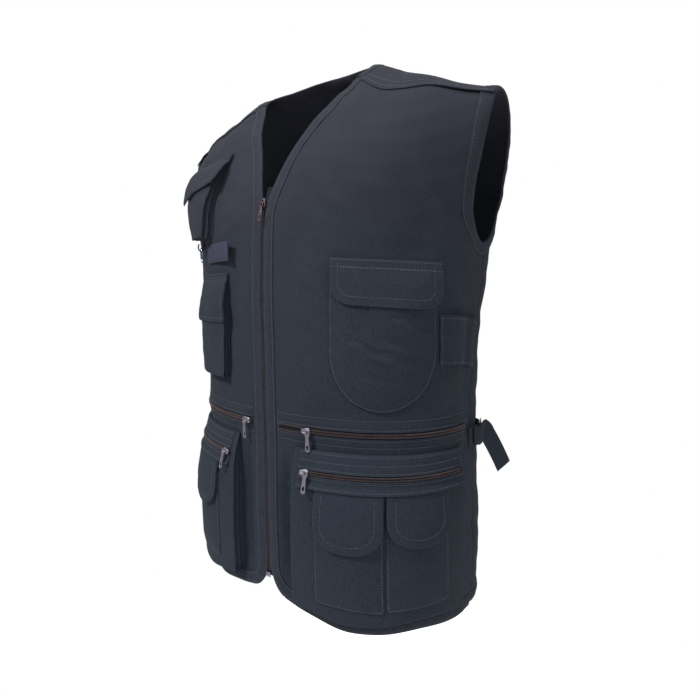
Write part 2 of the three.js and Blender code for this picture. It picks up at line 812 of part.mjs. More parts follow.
function flippingPull(length) {
  const shape = pullShape(length, 2.8, 0.8);
  const gate = new THREE.Path();
  gate.moveTo(-1.4, -4.2);
  gate.lineTo(-1.4, -1.7);
  gate.lineTo(1.4, -1.7);
  gate.lineTo(1.4, -4.2);
  gate.closePath();
  shape.holes.push(gate);
  return extruded(shape, PULL_THICK, 6);
}

// Slider with a pull that hangs round the bridge leg nearer the end of the zip.
function hangingSlider(surface, girth, z, base, reach, length) {
  const seat = frameOn(surface, girth, z, base, reach);
  const slider = placed(sliderSolid(), seat);
  const lower = new THREE.Matrix4().makeTranslation(3, 0, PLATE + PULL_SINK);
  const pull = placed(hangingPull(length), seat.clone().multiply(lower));
  const pivot = new THREE.Vector3(3, 0, PLATE + PULL_SINK + PULL_THICK / 2).applyMatrix4(seat);
  const axis = new THREE.Vector3().setFromMatrixColumn(seat, 2);
  return { slider, pull, hinge: { pivot, axis } };
}

// Flat ribbon along a path with a width direction at each point.
function ribbon(path, width, thickness) {
  const rings = path.map(({ at, across }, index) => {
    const before = path[Math.max(0, index - 1)].at;
    const after = path[Math.min(path.length - 1, index + 1)].at;
    const along = after.clone().sub(before).normalize();
    const side = across.clone().addScaledVector(along, -across.dot(along)).normalize();
    const face = along.clone().cross(side);
    const corner = (w, t) => {
      return at.clone().addScaledVector(side, (w * width) / 2).addScaledVector(face, (t * thickness) / 2);
    };
    return [corner(-1, -1), corner(1, -1), corner(1, 1), corner(-1, 1)];
  });
  return ringSolid(rings);
}

// Group of named meshes.
const vest = new THREE.Group();
vest.name = 'vest';

const paint = (name, color, roughness, metalness = 0) => {
  const material = new THREE.MeshStandardMaterial({ color, roughness, metalness, flatShading: true });
  material.name = name;
  return material;
};
const TWILL = paint('twill', 0x2b3038, 0.95);
const TRIM = paint('binding', 0x262a32, 0.95);
const TAPE = paint('zip_tape', 0x1d2026, 0.9);
const COIL = paint('zip_coil', 0x6b4a40, 0.6);
const METAL = paint('pull_metal', 0xb9b2c4, 0.35, 1);
const WEBBING = paint('webbing', 0x3a3a48, 0.9);
const PLASTIC = paint('buckle_plastic', 0x101114, 0.5);
const CHROME = paint('ring_chrome', 0x9aa4c8, 0.15, 1);

function add(name, solid, material, hinge = null) {
  const geometry = new THREE.BufferGeometry();
  const values = solid.points.flatMap((point) => point.toArray());
  geometry.setAttribute('position', new THREE.Float32BufferAttribute(values, 3));
  geometry.setIndex(solid.triangles.flat());
  geometry.computeVertexNormals();
  const mesh = new THREE.Mesh(geometry, material);
  mesh.name = name;
  if (hinge) mesh.userData.hinge = hinge;
  vest.add(mesh);
}

function addPair(name, solid, material, hinge = null) {
  add(`left_${name}`, solid, material, hinge);
  const flip = (vector) => new THREE.Vector3(-vector.x, vector.y, vector.z);
  const turned = hinge && { pivot: flip(hinge.pivot), axis: flip(hinge.axis) };
  add(`right_${name}`, mirrored(solid), material, turned);
}

// Panels and bindings.
add('back_panel', thickSheet(back), TWILL);
addPair('front_panel', thickSheet(front), TWILL);
addPair('front_binding', frontBinding(), TRIM);
const TRIM_HALF = HALF_CLOTH + 0.25;
const lengthened = (sheet) => ({
  ...sheet,
  points: sheet.points.map((point, index) => {
    if (index > PANEL_COLUMNS) return point;
    const next = sheet.points[index + PANEL_COLUMNS + 1];
    return point.clone().add(point.clone().sub(next).setLength(SEAM_GAP));
  }),
});
const clearOfBack = (solid) => trimmed(solid, thickSheet(lengthened(back), TRIM_HALF));
const clearOfFront = (solid) => trimmed(solid, thickSheet(lengthened(front), TRIM_HALF));
addPair('armhole_binding', clearOfFront(clearOfBack(armholeBinding())), TRIM);
add('back_neck_binding', clearOfBack(neckBinding()), TRIM);
add('back_hem_binding', backHemBinding(), TRIM);

// Centre zip behind the front edges.
const ZIP_TOP = -146;
const ZIP_BOTTOM = -624;
const TAPE_TOP = -136;
const TAPE_HALF = 13;
const ZIP_STEPS = 24;
const TAPE_LIFT = -(HALF_CLOTH + BINDING_GAP + BINDING + 0.9);
const onCentre = (z, across, lift) => onBody(across, z, lift);
const tapeRings = range(0, ZIP_STEPS).map((step) => {
  const z = mix(TAPE_TOP, ZIP_BOTTOM - 3, step / ZIP_STEPS);
  return [[-1, 0], [1, 0], [1, -0.9], [-1, -0.9]].map(([side, sink]) => {
    return onBody(side * TAPE_HALF, z, TAPE_LIFT + sink);
  });
});
add('front_zip_tape', ringSolid(tapeRings), TAPE);
const CHAIN_LOW = TAPE_LIFT + 0.5;
add('front_zip_chain', laidBar(onCentre, ZIP_TOP - 8, ZIP_BOTTOM + 6, ZIP_STEPS, 2.9, CHAIN_LOW, 1.2), COIL);

const slide = frameOn(onBody, 0, ZIP_TOP - 12, HALF_CLOTH + BINDING_GAP + BINDING + 0.5);
const downward = new THREE.Matrix4().makeRotationZ(-Math.PI / 2);
const frontSeat = slide.clone().multiply(downward);
add('front_zip_slider', placed(sliderSolid(), frontSeat), METAL);
const frontPivot = new THREE.Vector3(0, 0, PLATE + BRIDGE.leg);
const pullRise = new THREE.Matrix4().makeTranslation(0, 0, PLATE + BRIDGE.leg - PULL_THICK / 2);
const frontPullAt = slide.clone().multiply(pullRise);
add('front_zip_pull', placed(flippingPull(24), frontPullAt), METAL, {
  pivot: frontPivot.applyMatrix4(slide),
  axis: new THREE.Vector3().setFromMatrixColumn(slide, 0).negate(),
});
const stop = new THREE.BoxGeometry(7, 6, 1.6);
const stopAt = frameOn(onBody, 0, ZIP_BOTTOM + 1.5, HALF_CLOTH + BINDING_GAP + BINDING + 1.3);
add('front_zip_stop', placed(welded(stop), stopAt), METAL);

// Waist zips: the left one is open up to its slider.
const WAIST = { z: -425.5, from: 21, to: 270, top: -408, bottom: -441.5, slot: 5.2 };
const WAIST_BASE = BASE + 0.3;
const waistFrame = slottedStrip(onBody, {
  from: WAIST.from,
  to: WAIST.to,
  columns: 16,
  top: WAIST.top,
  slotTop: WAIST.z + WAIST.slot,
  slotBottom: WAIST.z - WAIST.slot,
  bottom: WAIST.bottom,
  base: WAIST_BASE,
  wall: 1.1,
});
const onWaist = (girth, across, lift) => onBody(girth, WAIST.z + across, lift);
const COIL_LOW = WAIST_BASE;
const COIL_HIGH = WAIST_BASE + 2;
const closedWaist = laidBar(onWaist, WAIST.from + 6, WAIST.to - 6, 15, 3, COIL_LOW, COIL_HIGH);
const OPEN_TO = 66.5;
const openHalf = (side) => laidBar(
  (girth, across, lift) => {
    const spread = 1.6 + 1.6 * smoothstep(OPEN_TO - girth, 0, 16);
    return onBody(girth, WAIST.z + side * spread + across, lift);
  },
  WAIST.from + 6,
  OPEN_TO + 4,
  4,
  1.35,
  COIL_LOW,
  COIL_HIGH,
);
const partWaist = laidBar(onWaist, OPEN_TO, WAIST.to - 6, 14, 3, COIL_LOW, COIL_HIGH);
const leftChain = joined(partWaist, openHalf(1), openHalf(-1));
const waistLift = WAIST_BASE + 2.5;
const leftWaist = hangingSlider(onBody, OPEN_TO, WAIST.z, waistLift, 6, 24);
const rightWaist = hangingSlider(onBody, WAIST.from + 9.5, WAIST.z, waistLift, 6, 24);
addPair('waist_zip_frame', waistFrame, TWILL);
add('left_waist_zip_chain', leftChain, COIL);
add('left_waist_zip_slider', leftWaist.slider, METAL);
add('left_waist_zip_pull', leftWaist.pull, METAL, leftWaist.hinge);
const flipX = (vector) => new THREE.Vector3(-vector.x, vector.y, vector.z);
add('right_waist_zip_chain', mirrored(closedWaist), COIL);
add('right_waist_zip_slider', mirrored(rightWaist.slider), METAL);
add('right_waist_zip_pull', mirrored(rightWaist.pull), METAL, {
  pivot: flipX(rightWaist.hinge.pivot),
  axis: flipX(rightWaist.hinge.axis),
});

// Cargo bellows pockets.
const CARGO = { left: 50, right: 256, top: -447 };
const cargoTaper = (girth) => 1 - 0.6 * smoothstep(girth, 110, 255);
const CARGO_DEPTHS = [
  { v: 0, depth: POCKET_WALL + 0.3 },
  { v: 0.07, depth: 6 },
  { v: 0.15, depth: 10.5 },
  { v: 0.25, depth: 13.5 },
  { v: 0.45, depth: 15.5 },
  { v: 0.72, depth: 16.5 },
  { v: 1, depth: 16.5 },
];
const cargoFoot = (girth) => hemAt(girth) + HEM_BAND + 4;
const cargoDepthAt = curve(CARGO_DEPTHS, 'v', 'depth');
const cargoBag = bellows(onBody, {
  left: () => CARGO.left,
  right: () => CARGO.right,
  top: CARGO.top,
  bottom: cargoFoot,
  depths: CARGO_DEPTHS,
  columns: 12,
  taper: cargoTaper,
});
const onCargo = (girth, z, lift) => {
  const down = (CARGO.top - z) / (CARGO.top - cargoFoot(girth) - 3);
  const depth = Math.max(POCKET_WALL, cargoDepthAt(down) * cargoTaper(girth));
  return onBody(girth, z, BASE + depth + lift);
};
const CARGO_ZIP = { z: -472, from: 56, to: 250, top: -458, bottom: -489, slot: 4.6 };
const cargoBand = slottedStrip(onCargo, {
  from: CARGO_ZIP.from,
  to: CARGO_ZIP.to,
  columns: 14,
  top: CARGO_ZIP.top,
  slotTop: CARGO_ZIP.z + CARGO_ZIP.slot,
  slotBottom: CARGO_ZIP.z - CARGO_ZIP.slot,
  bottom: CARGO_ZIP.bottom,
  base: LAY_GAP + 0.3,
  wall: 1.1,
});
const onCargoZip = (girth, across, lift) => onCargo(girth, CARGO_ZIP.z + across, lift);
const CARGO_COIL = {
  low: LAY_GAP + 0.3,
  high: LAY_GAP + 2.3,
  from: CARGO_ZIP.from + 6,
  to: CARGO_ZIP.to - 6,
};
const cargoChain = laidBar(
  onCargoZip,
  CARGO_COIL.from,
  CARGO_COIL.to,
  13,
  3,
  CARGO_COIL.low,
  CARGO_COIL.high,
);
const CARGO_SLIDE_LIFT = LAY_GAP + 2.8;
const cargoSlider = (along) => {
  return hangingSlider(onCargo, CARGO_ZIP.from + along, CARGO_ZIP.z, CARGO_SLIDE_LIFT, 14, 23);
};
const leftCargo = cargoSlider(13);
const rightCargo = cargoSlider(8);
addPair('cargo_pocket', cargoBag, TWILL);
addPair('cargo_zip_band', cargoBand, TWILL);
addPair('cargo_zip_chain', cargoChain, COIL);
add('left_cargo_zip_slider', leftCargo.slider, METAL);
add('left_cargo_zip_pull', leftCargo.pull, METAL, leftCargo.hinge);
add('right_cargo_zip_slider', mirrored(rightCargo.slider), METAL);
add('right_cargo_zip_pull', mirrored(rightCargo.pull), METAL, {
  pivot: flipX(rightCargo.hinge.pivot),
  axis: flipX(rightCargo.hinge.axis),
});

// Small pockets and flaps on the cargo pockets.
const SMALL = [
  { name: 'inner_small', from: 82, to: 157, top: -512, foot: 16, flapTop: -492, flapLow: -554 },
  { name: 'outer_small', from: 161, to: 229, top: -510, foot: 18, flapTop: -491.5, flapLow: -545 },
];
SMALL.forEach(({ name, from, to, top, foot, flapTop, flapLow }) => {
  const low = cargoFoot((from + to) / 2) + foot;
  const bag = [0, 0.35, 0.7, 0.92, 1].map((part) => {
    const trim = part > 0.9 ? (part - 0.9) * 30 : 0;
    return { z: mix(top, low, part), left: from + trim, right: to - trim };
  });
  const flap = [0, 0.4, 0.7, 0.9, 1].map((part) => {
    const trim = 20 * Math.max(0, part - 0.45) ** 2 / 0.3;
    return { z: mix(flapTop, flapLow, part), left: from + 1 + trim, right: to - 1 - trim };
  });
  const base = LAY_GAP + 0.3;
  const bagSolid = patch(onCargo, bag, 6, { base, wall: 1.2, bulge: 2.4 });
  const flapSolid = patch(onCargo, flap, 6, { base, wall: 1.3, bulge: 2.6, hang: 4 });
  addPair(`${name}_pocket`, bagSolid, TWILL);
  addPair(`${name}_flap`, flapSolid, TWILL);
});

// Left chest pocket with its flap and the tool loops beside it.
const CHEST_BAG = [
  { z: -246, left: 98.5, right: 216 },
  { z: -285, left: 98, right: 216 },
  { z: -322, left: 98, right: 216 },
  { z: -352, left: 101, right: 213.5 },
  { z: -376, left: 113, right: 203 },
  { z: -390, left: 129, right: 187 },
  { z: -397, left: 144, right: 171 },
];
const CHEST_FLAP = [
  { z: -226, left: 101, right: 222 },
  { z: -246, left: 100.5, right: 221.5 },
  { z: -260, left: 102, right: 220 },
  { z: -270, left: 108, right: 214 },
  { z: -275.5, left: 118, right: 204 },
];
add('left_chest_pocket', patch(onBody, CHEST_BAG, 8, { base: BASE, wall: 1.3, bulge: 3 }), TWILL);
add('left_chest_flap', patch(onBody, CHEST_FLAP, 8, {
  tilt: -9,
  base: BASE,
  wall: 1.4,
  bulge: 2.8,
  hang: 4.6,
}), TWILL);
const LOOPS = [
  { girth: 222, lift: 0 },
  { girth: 229, lift: 0 },
  { girth: 235, lift: 3 },
  { girth: 245, lift: 3.6 },
  { girth: 253, lift: 2.6 },
  { girth: 259, lift: 0 },
  { girth: 264, lift: 0 },
  { girth: 270, lift: 3.2 },
  { girth: 277, lift: 3.2 },
  { girth: 283, lift: 0 },
];
const loopLayer = (extra) => gridPoints(2, LOOPS.length - 1, (row, column) => {
  const { girth, lift } = LOOPS[column];
  const drift = 14 * ((girth - 222) / 60) ** 2;
  return onBody(girth, -294 - row * 27 - drift * 0.7, BASE + lift + extra);
});
add('left_tool_loops', wallBetween(gridCells(2, LOOPS.length - 1), loopLayer(1.3), loopLayer(0)), TWILL);

// Right chest bellows pocket and flap, made on the left and mirrored.
const RADIO_DEPTHS = [
  { v: 0, depth: POCKET_WALL },
  { v: 0.12, depth: 7 },
  { v: 0.4, depth: 12 },
  { v: 0.75, depth: 14 },
  { v: 1, depth: 14 },
];
const RADIO = { top: -92, foot: -190 };
const radioLeft = (v) => mix(92, 105, v);
const radioRight = (v) => mix(186, 172, v);
const radioDepthAt = curve(RADIO_DEPTHS, 'v', 'depth');
const radioBag = bellows(onBody, {
  left: radioLeft,
  right: radioRight,
  top: RADIO.top,
  bottom: () => RADIO.foot,
  depths: RADIO_DEPTHS,
  columns: 6,
});
const onRadio = (girth, z, lift) => {
  const down = clamp((RADIO.top - z) / (RADIO.top - RADIO.foot - 3), 0, 1);
  return onBody(girth, z, BASE + radioDepthAt(down) + lift);
};
const RADIO_FLAP = [
  { z: -82, left: 87, right: 191 },
  { z: -94, left: 88, right: 191 },
  { z: -106, left: 89.5, right: 190 },
  { z: -116, left: 92, right: 189 },
  { z: -123, left: 95, right: 187 },
];
add('right_radio_pocket', mirrored(radioBag), TWILL);
add('right_radio_flap', mirrored(patch(onRadio, RADIO_FLAP, 8, {
  tilt: -16,
  base: LAY_GAP + 0.6,
  wall: 1.5,
  bulge: 1.4,
})), TWILL);

// Right narrow bellows pocket with its square flap.
const NARROW = { left: 68, right: 144, top: -246, foot: -374 };
const NARROW_DEPTHS = [
  { v: 0, depth: POCKET_WALL },
  { v: 0.06, depth: 5 },
  { v: 0.3, depth: 9 },
  { v: 0.7, depth: 10.5 },
  { v: 1, depth: 10.5 },
];
const narrowDepthAt = curve(NARROW_DEPTHS, 'v', 'depth');
const narrowBag = bellows(onBody, {
  left: () => NARROW.left,
  right: () => NARROW.right,
  top: NARROW.top,
  bottom: () => NARROW.foot,
  depths: NARROW_DEPTHS,
  columns: 5,
});
const onNarrow = (girth, z, lift) => {
  const down = clamp((NARROW.top - z) / (NARROW.top - NARROW.foot - 3), 0, 1);
  return onBody(girth, z, BASE + narrowDepthAt(down) + lift);
};
const NARROW_FLAP = [-239, -252, -270, -290, -303].map((z) => ({ z, left: 67, right: 145 }));
add('right_narrow_pocket', mirrored(narrowBag), TWILL);
add('right_narrow_flap', mirrored(patch(onNarrow, NARROW_FLAP, 6, {
  base: LAY_GAP + 0.2,
  wall: 1.5,
  bulge: 1.2,
})), TWILL);

// Webbing tab on the right chest, flat from its sewn outer end to its proud inner end.
const TAB = { outer: 126, inner: 52, z: -212, height: 25, thick: 2 };
const tabOuter = onBody(TAB.outer, TAB.z, BASE + 1.2);
const tabInner = onBody(TAB.inner, TAB.z, BASE + 9.5);
const tabAlong = tabOuter.clone().sub(tabInner);
const tabMiddle = (TAB.outer + TAB.inner) / 2;
const tabRise = onBody(tabMiddle, TAB.z + 8).sub(onBody(tabMiddle, TAB.z - 8)).normalize();
const tabOut = tabAlong.clone().cross(tabRise).normalize();
const tabBasis = new THREE.Matrix4().makeBasis(
  tabAlong.clone().normalize(),
  tabOut.clone().cross(tabAlong).normalize(),
  tabOut,
).setPosition(tabOuter.clone().add(tabInner).multiplyScalar(0.5));
const tab = welded(new THREE.BoxGeometry(tabAlong.length(), TAB.height, TAB.thick));
add('right_webbing_tab', mirrored(placed(tab, tabBasis)), WEBBING);

// Fabric loop below the right chest pocket with an oval ring hanging in it.
const RING = { girth: 150, z: -212.4, half: 6, tall: 9.5, wire: 1.1 };
const loopPath = [
  { z: -194.5, lift: BASE + 0.3 },
  { z: -198, lift: BASE + 0.9 },
  { z: -203.5, lift: BASE + 2.4 },
  { z: -207.4, lift: BASE + 5.2 },
  { z: -204.4, lift: BASE + 8.2 },
  { z: -200, lift: BASE + 8.4 },
  { z: -196.6, lift: BASE + 7.2 },
];
const acrossAt = (girth, z) => onBody(girth + 4, z).sub(onBody(girth - 4, z)).normalize();
const ringLoop = ribbon(loopPath.map(({ z, lift }) => ({
  at: onBody(RING.girth, z, lift),
  across: acrossAt(RING.girth, z),
})), 5, 1.2);
const ringSeat = frameOn(onBody, RING.girth, RING.z, BASE + 5.2);
const ringRings = range(0, 17).map((step) => {
  const turn = (Math.PI * 2 * step) / 18;
  const middle = new THREE.Vector3(RING.half * Math.cos(turn), RING.tall * Math.sin(turn), 0);
  const outward = new THREE.Vector3(Math.cos(turn), Math.sin(turn), 0);
  return range(0, 5).map((corner) => {
    const swing = (Math.PI * 2 * corner) / 6;
    const point = middle.clone().addScaledVector(outward, RING.wire * Math.cos(swing));
    point.z += RING.wire * Math.sin(swing);
    return point.applyMatrix4(ringSeat);
  });
});
add('right_ring_loop', mirrored(ringLoop), TWILL);
add('right_ring', mirrored(ringSolid(ringRings, true)), CHROME);

// Side straps at the waist: tab round the front bar, slide buckle, strap with a free tail.
const STRAP = { z: -443, width: 20, thick: 1.3, ahead: 22 };
const strapGirth = sideGirth(STRAP.z) + STRAP.ahead;
const strapSeat = frameOn(onBody, strapGirth, STRAP.z, BASE + 5.5);
const inStrap = (along, out) => new THREE.Vector3(along, 0, out).applyMatrix4(strapSeat);
const strapUp = new THREE.Vector3().setFromMatrixColumn(strapSeat, 1);
const turnRound = (centre, radius, from, to) => range(0, 4).map((step) => {
  const angle = THREE.MathUtils.degToRad(mix(from, to, step / 4));
  return inStrap(centre + radius * Math.cos(angle), radius * Math.sin(angle));
});
const BUCKLE = { half: 12, tall: 14.5, bar: 0.9, thick: 1.8, rail: 2.4, frontBar: -10.6 };
const tabFrom = strapGirth - 32;
const tabPath = [
  onBody(tabFrom, STRAP.z, BASE + STRAP.thick / 2),
  onBody(tabFrom + 9, STRAP.z, BASE + STRAP.thick / 2 + 0.4),
  inStrap(-15, -3.6),
  ...turnRound(BUCKLE.frontBar, 2.6, -90, 90),
  inStrap(-16, 0.4),
  onBody(tabFrom + 8.5, STRAP.z, BASE + STRAP.thick * 2 + 1),
];
const tabStrip = ribbon(tabPath.map((at) => ({ at, across: strapUp })), STRAP.width, STRAP.thick);
const slotMiddle = BUCKLE.frontBar / 2;
const slotLength = -BUCKLE.frontBar - BUCKLE.bar * 2;
const slotHeight = (BUCKLE.tall - BUCKLE.rail) * 2;
const boxAt = (length, height, thick, along) => {
  return welded(new THREE.BoxGeometry(length, height, thick).translate(along, 0, 0));
};
const buckleFrame = [-slotMiddle, slotMiddle].reduce(
  (frame, along) => frame.subtract(toManifold(boxAt(slotLength, slotHeight, BUCKLE.thick * 2, along))),
  toManifold(boxAt(BUCKLE.half * 2, BUCKLE.tall * 2, BUCKLE.thick, 0)),
);
const buckle = placed(fromManifold(buckleFrame), strapSeat);
const TAIL = { length: 54, direction: new THREE.Vector3(0.26, 0.66, -0.76).normalize() };
const sewn = range(0, 7).map((step) => {
  const girth = strapGirth + 118 - step * 14;
  return onBody(girth, STRAP.z, BASE + STRAP.thick / 2 + 0.4);
});
const tailStart = inStrap(14.5, 4);
const tailAcross = new THREE.Vector3(0, 0.75, 0.66);
const strapPath = [
  ...sewn.map((at) => ({ at, across: strapUp })),
  ...[inStrap(15, -3), inStrap(7, -2.7)].map((at) => ({ at, across: strapUp })),
  ...turnRound(0, 2.6, -90, -270).map((at) => ({ at, across: strapUp })),
  { at: inStrap(7, 3), across: strapUp },
  { at: tailStart, across: strapUp.clone().lerp(tailAcross, 0.35) },
  ...[0.25, 0.5, 0.75, 1].map((part) => {
    const sag = new THREE.Vector3(0, 0, -4 * part * part);
    return {
      at: tailStart.clone().addScaledVector(TAIL.direction, TAIL.length * part).add(sag),
      across: strapUp.clone().lerp(tailAcross, Math.min(1, 0.35 + part * 1.3)),
    };
  }),
];
addPair('strap_tab', tabStrip, TWILL);
addPair('strap_buckle', buckle, PLASTIC);
addPair('strap', ribbon(strapPath, STRAP.width, STRAP.thick), TWILL);

export default vest;
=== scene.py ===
"""Work vest with zipped cargo pockets: cloth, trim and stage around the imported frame."""

import math

import bmesh
import bpy
import numpy as np
from mathutils import Matrix, Vector
from mathutils.bvhtree import BVHTree
from mathutils.geometry import delaunay_2d_cdt


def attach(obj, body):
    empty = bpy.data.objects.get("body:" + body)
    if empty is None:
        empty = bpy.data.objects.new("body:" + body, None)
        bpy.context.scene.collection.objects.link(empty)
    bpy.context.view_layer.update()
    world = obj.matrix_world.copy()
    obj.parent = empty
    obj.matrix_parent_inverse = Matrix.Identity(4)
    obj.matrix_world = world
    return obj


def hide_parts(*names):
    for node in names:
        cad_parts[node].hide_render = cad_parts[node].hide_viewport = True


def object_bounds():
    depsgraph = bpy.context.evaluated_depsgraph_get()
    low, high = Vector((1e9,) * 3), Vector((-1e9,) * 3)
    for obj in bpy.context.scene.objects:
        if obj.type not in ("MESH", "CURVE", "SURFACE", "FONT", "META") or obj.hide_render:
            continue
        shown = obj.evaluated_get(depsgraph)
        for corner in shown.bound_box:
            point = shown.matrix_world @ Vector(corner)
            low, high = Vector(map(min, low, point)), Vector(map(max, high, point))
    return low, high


bl_info = {
    "name": "Work Vest Builder",
    "version": (1, 0, 0),
    "blender": (4, 5, 0),
    "location": "View3D > Sidebar > Vest",
    "description": "Makes the cloth, trim and stage of a zip-front work vest",
    "category": "Object",
}

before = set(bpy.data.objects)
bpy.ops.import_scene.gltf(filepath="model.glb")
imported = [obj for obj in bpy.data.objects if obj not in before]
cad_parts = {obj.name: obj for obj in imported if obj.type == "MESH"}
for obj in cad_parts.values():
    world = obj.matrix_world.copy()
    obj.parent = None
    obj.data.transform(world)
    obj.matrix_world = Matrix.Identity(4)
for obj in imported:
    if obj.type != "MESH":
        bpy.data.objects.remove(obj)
CAD_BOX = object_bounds()

MM = 0.001
BODY = "vest"
SIDES = ((1, "left"), (-1, "right"))

# Cloth and lay heights in millimetres.
BASE = 1.4
POCKET_WALL = 1.3
CLOTH_HALF = 0.7
PATCH_CLOTH = 1.2
FLAP_CLOTH = 1.5
BELLOWS_CLOTH = 1.1
WELT_CLOTH = 0.9
PATCH_STITCH = 2.0
# Reach of the lighter folded edges, partly wear and partly painted highlight.
WEAR_AND_HIGHLIGHT_REACH = 1.2
SEAM_GAP = -0.5
FRONT_EDGE = 4.9
CORNER = 24
SIDE_ANGLE = 94
UNDERARM_Z = -219
HEM_LEVEL = -650
GRID_STEP = 3.5
FOOT_TURN = 3

# Worn form: height, half width, middle depth, depth to the front and back, squareness.
SECTIONS = np.array((
    (-720, 202, 14, 136, 112, 2.3),
    (-560, 207, 16, 136, 113, 2.35),
    (-430, 204, 16, 134, 112, 2.3),
    (-300, 211, 18, 134, 118, 2.25),
    (-210, 219, 18, 130, 124, 2.25),
    (-120, 241, 12, 116, 122, 2.3),
    (-40, 264, 4, 108, 104, 2.4),
    (60, 264, 0, 104, 96, 2.4),
), float)
RIDGE_Y = -3

# Shoulder line outside the neck and its run inside the neck at the front and back: x, height.
SHOULDER_LINE = (
    (93, 5), (101, 3), (109, -1), (124, -10), (139, -18),
    (174, -30), (204, -41), (232, -50), (250, -55), (280, -66),
)
FRONT_NECK_LINE = ((0, 5),)
BACK_NECK_LINE = ((0, 54), (50, 39.4), (65, 27.4), (85, 12))

# Front neck edge and armhole edge: height, distance round from the centre front.
NECK_EDGE = (
    (-165, FRONT_EDGE), (-153, 8.5), (-135, 13), (-121, 19),
    (-103, 25.5), (-85, 34), (-61, 50), (-45, 59),
)
ARM_FRONT = ((-211, 284), (-201, 272), (-184, 259), (-162, 256.5), (-120, 256.5), (-84, 256))

# Back armhole edge: height, angle round the body.
ARM_BACK = (
    (UNDERARM_Z, SIDE_ANGLE), (-202, 101), (-182, 106),
    (-162, 107.5), (-140, 106.5), (-116, 105),
)

# Hem: distance round from the centre front, height.
HEM = (
    (0, -628), (12, -637), (30, -645), (70, -653), (115, -661),
    (150, -659), (205, -652), (250, -654.5), (285, -656), (350, -654), (560, -652),
)

# Shoulder rows: x and drop at the neck, x and drop at the arm, dip between; minus drop is in front.
YOKE_ROWS = (
    (79, -16, 247, -9.8, 1.6),
    (88, -4, 247, -3, 0.7),
    (93, 0, 248, 0, 0),
    (87, 1.6, 247.5, 4, 0),
    (72, 5.5, 246, 12, 0),
    (52, 14, 244, 26, 0),
    (27, 20.5, 241.5, 44, 0),
    (0, 24, 238, 66, 0),
)
FRONT_TOP_ROWS = (
    (82, -8, 247, -4.5, 1.3),
    (79.2, -17, 247, -11, 1.6),
    (67.5, -33, 244, -26.5, 0.9),
    (56, -55, 240.5, -47.6, 0),
)

# Rows below: height at the front edge or centre back, height at the armhole.
FRONT_ROWS = (
    (-74, -120), (-98, -142), (-126, -164), (-165, -184),
    (-187, -200), (-207, -211), (-228, UNDERARM_Z),
)
BACK_ROWS = ((-14, -140), (-58, -162), (-104, -182), (-150, -202), (-190, UNDERARM_Z))
FLARE = 6

# Soft folds: distance round, height, heading, length, width, rise.
FOLDS = (
    (212, -170, 128, 60, 10, 2.6),
    (232, -196, 135, 55, 9, 2.4),
    (196, -205, 150, 60, 11, 2.0),
    (170, -120, 75, 120, 30, 2.6),
    (120, -150, 80, 150, 34, 2.4),
    (236, -262, 120, 60, 12, 1.8),
    (150, -338, 165, 46, 6, 1.7),
    (175, -347, 150, 36, 6, 1.5),
    (130, -322, 20, 34, 7, 1.2),
    (250, -380, 100, 70, 13, 2.2),
    (228, -392, 80, 60, 14, 1.6),
    (84, -330, 88, 130, 22, 1.5),
    (-150, -60, 70, 70, 14, 2.0),
    (-120, -62, 62, 60, 11, 1.7),
    (-60, -210, 84, 150, 26, 1.6),
    (-190, -230, 70, 90, 18, 2.0),
    (-228, -300, 82, 120, 18, 2.2),
    (-200, -385, 100, 70, 16, 1.6),
    (430, -470, 90, 190, 16, 3.0),
    (470, -520, 88, 200, 20, 3.2),
    (520, -480, 92, 170, 18, 2.6),
    (560, -430, 90, 220, 24, 2.0),
    (-440, -500, 90, 200, 18, 3.0),
    (-490, -470, 93, 180, 20, 2.8),
    (-530, -540, 90, 190, 20, 2.6),
    (395, -250, 60, 120, 22, 2.4),
    (-395, -250, 120, 120, 22, 2.4),
    (450, -160, 40, 120, 24, 2.0),
    (-450, -160, 140, 120, 24, 2.0),
)

# Hollows beside the cargo pockets, in the same terms.
HOLLOWS = (
    (36, -545, 90, 160, 9, -6.0),
    (17, -560, 90, 170, 9, 2.0),
    (-36, -545, 90, 160, 9, -6.0),
    (-17, -560, 90, 170, 9, 2.0),
)

# Zips and pockets, distances round and heights; teeth in metres.
TOOTH = {"Length": 0.00125, "Width": 0.0027, "Height": 0.0022}
TEETH_APART = 1.45
SLOT_LAP = 1.4
TAB_Z = -212
ZIP_TOP, ZIP_BOTTOM, TAPE_TOP = -146, -624, -136
FRONT_SLIDE_LIFT = 2.7
WAIST = {"z": -425.5, "from": 21, "to": 270, "top": -408, "bottom": -441.5, "slot": 5.2}
WAIST_BASE = BASE + 0.3
WAIST_OPEN = 66.5
CARGO = {"left": 50, "right": 256, "top": -447}
CARGO_DEPTHS = (
    (0, 1.6), (0.07, 6), (0.15, 10.5), (0.25, 13.5), (0.45, 15.5), (0.72, 16.5), (1, 16.5),
)
CARGO_ZIP = {"z": -472, "from": 56, "to": 250, "top": -447.6, "bottom": -489, "slot": 4.6}
CARGO_LIFT = 0.9
RADIO = {"top": -92, "foot": -190}
RADIO_DEPTHS = ((0, 1.3), (0.12, 7), (0.4, 12), (0.75, 14), (1, 14))
NARROW = {"left": 68, "right": 144, "top": -246, "foot": -374}
NARROW_DEPTHS = ((0, 1.3), (0.06, 5), (0.3, 9), (0.7, 10.5), (1, 10.5))
SLIDER_PLATE = 2
BRIDGE_LEG = 1.2
PULL_SINK = 0.5
PULL_THICK = 1.2


def mix(a, b, t):
    return a + (b - a) * t


def smoothstep(x, low, high):
    t = np.clip((np.asarray(x, float) - low) / (high - low), 0, 1)
    return t * t * (3 - 2 * t)


def unit(vectors):
    return vectors / np.maximum(np.linalg.norm(vectors, axis=-1, keepdims=True), 1e-12)


def root(drop):
    return np.sign(drop) * np.sqrt(np.abs(drop))


def bell(x, width):
    return np.exp(-((x / width) ** 2))


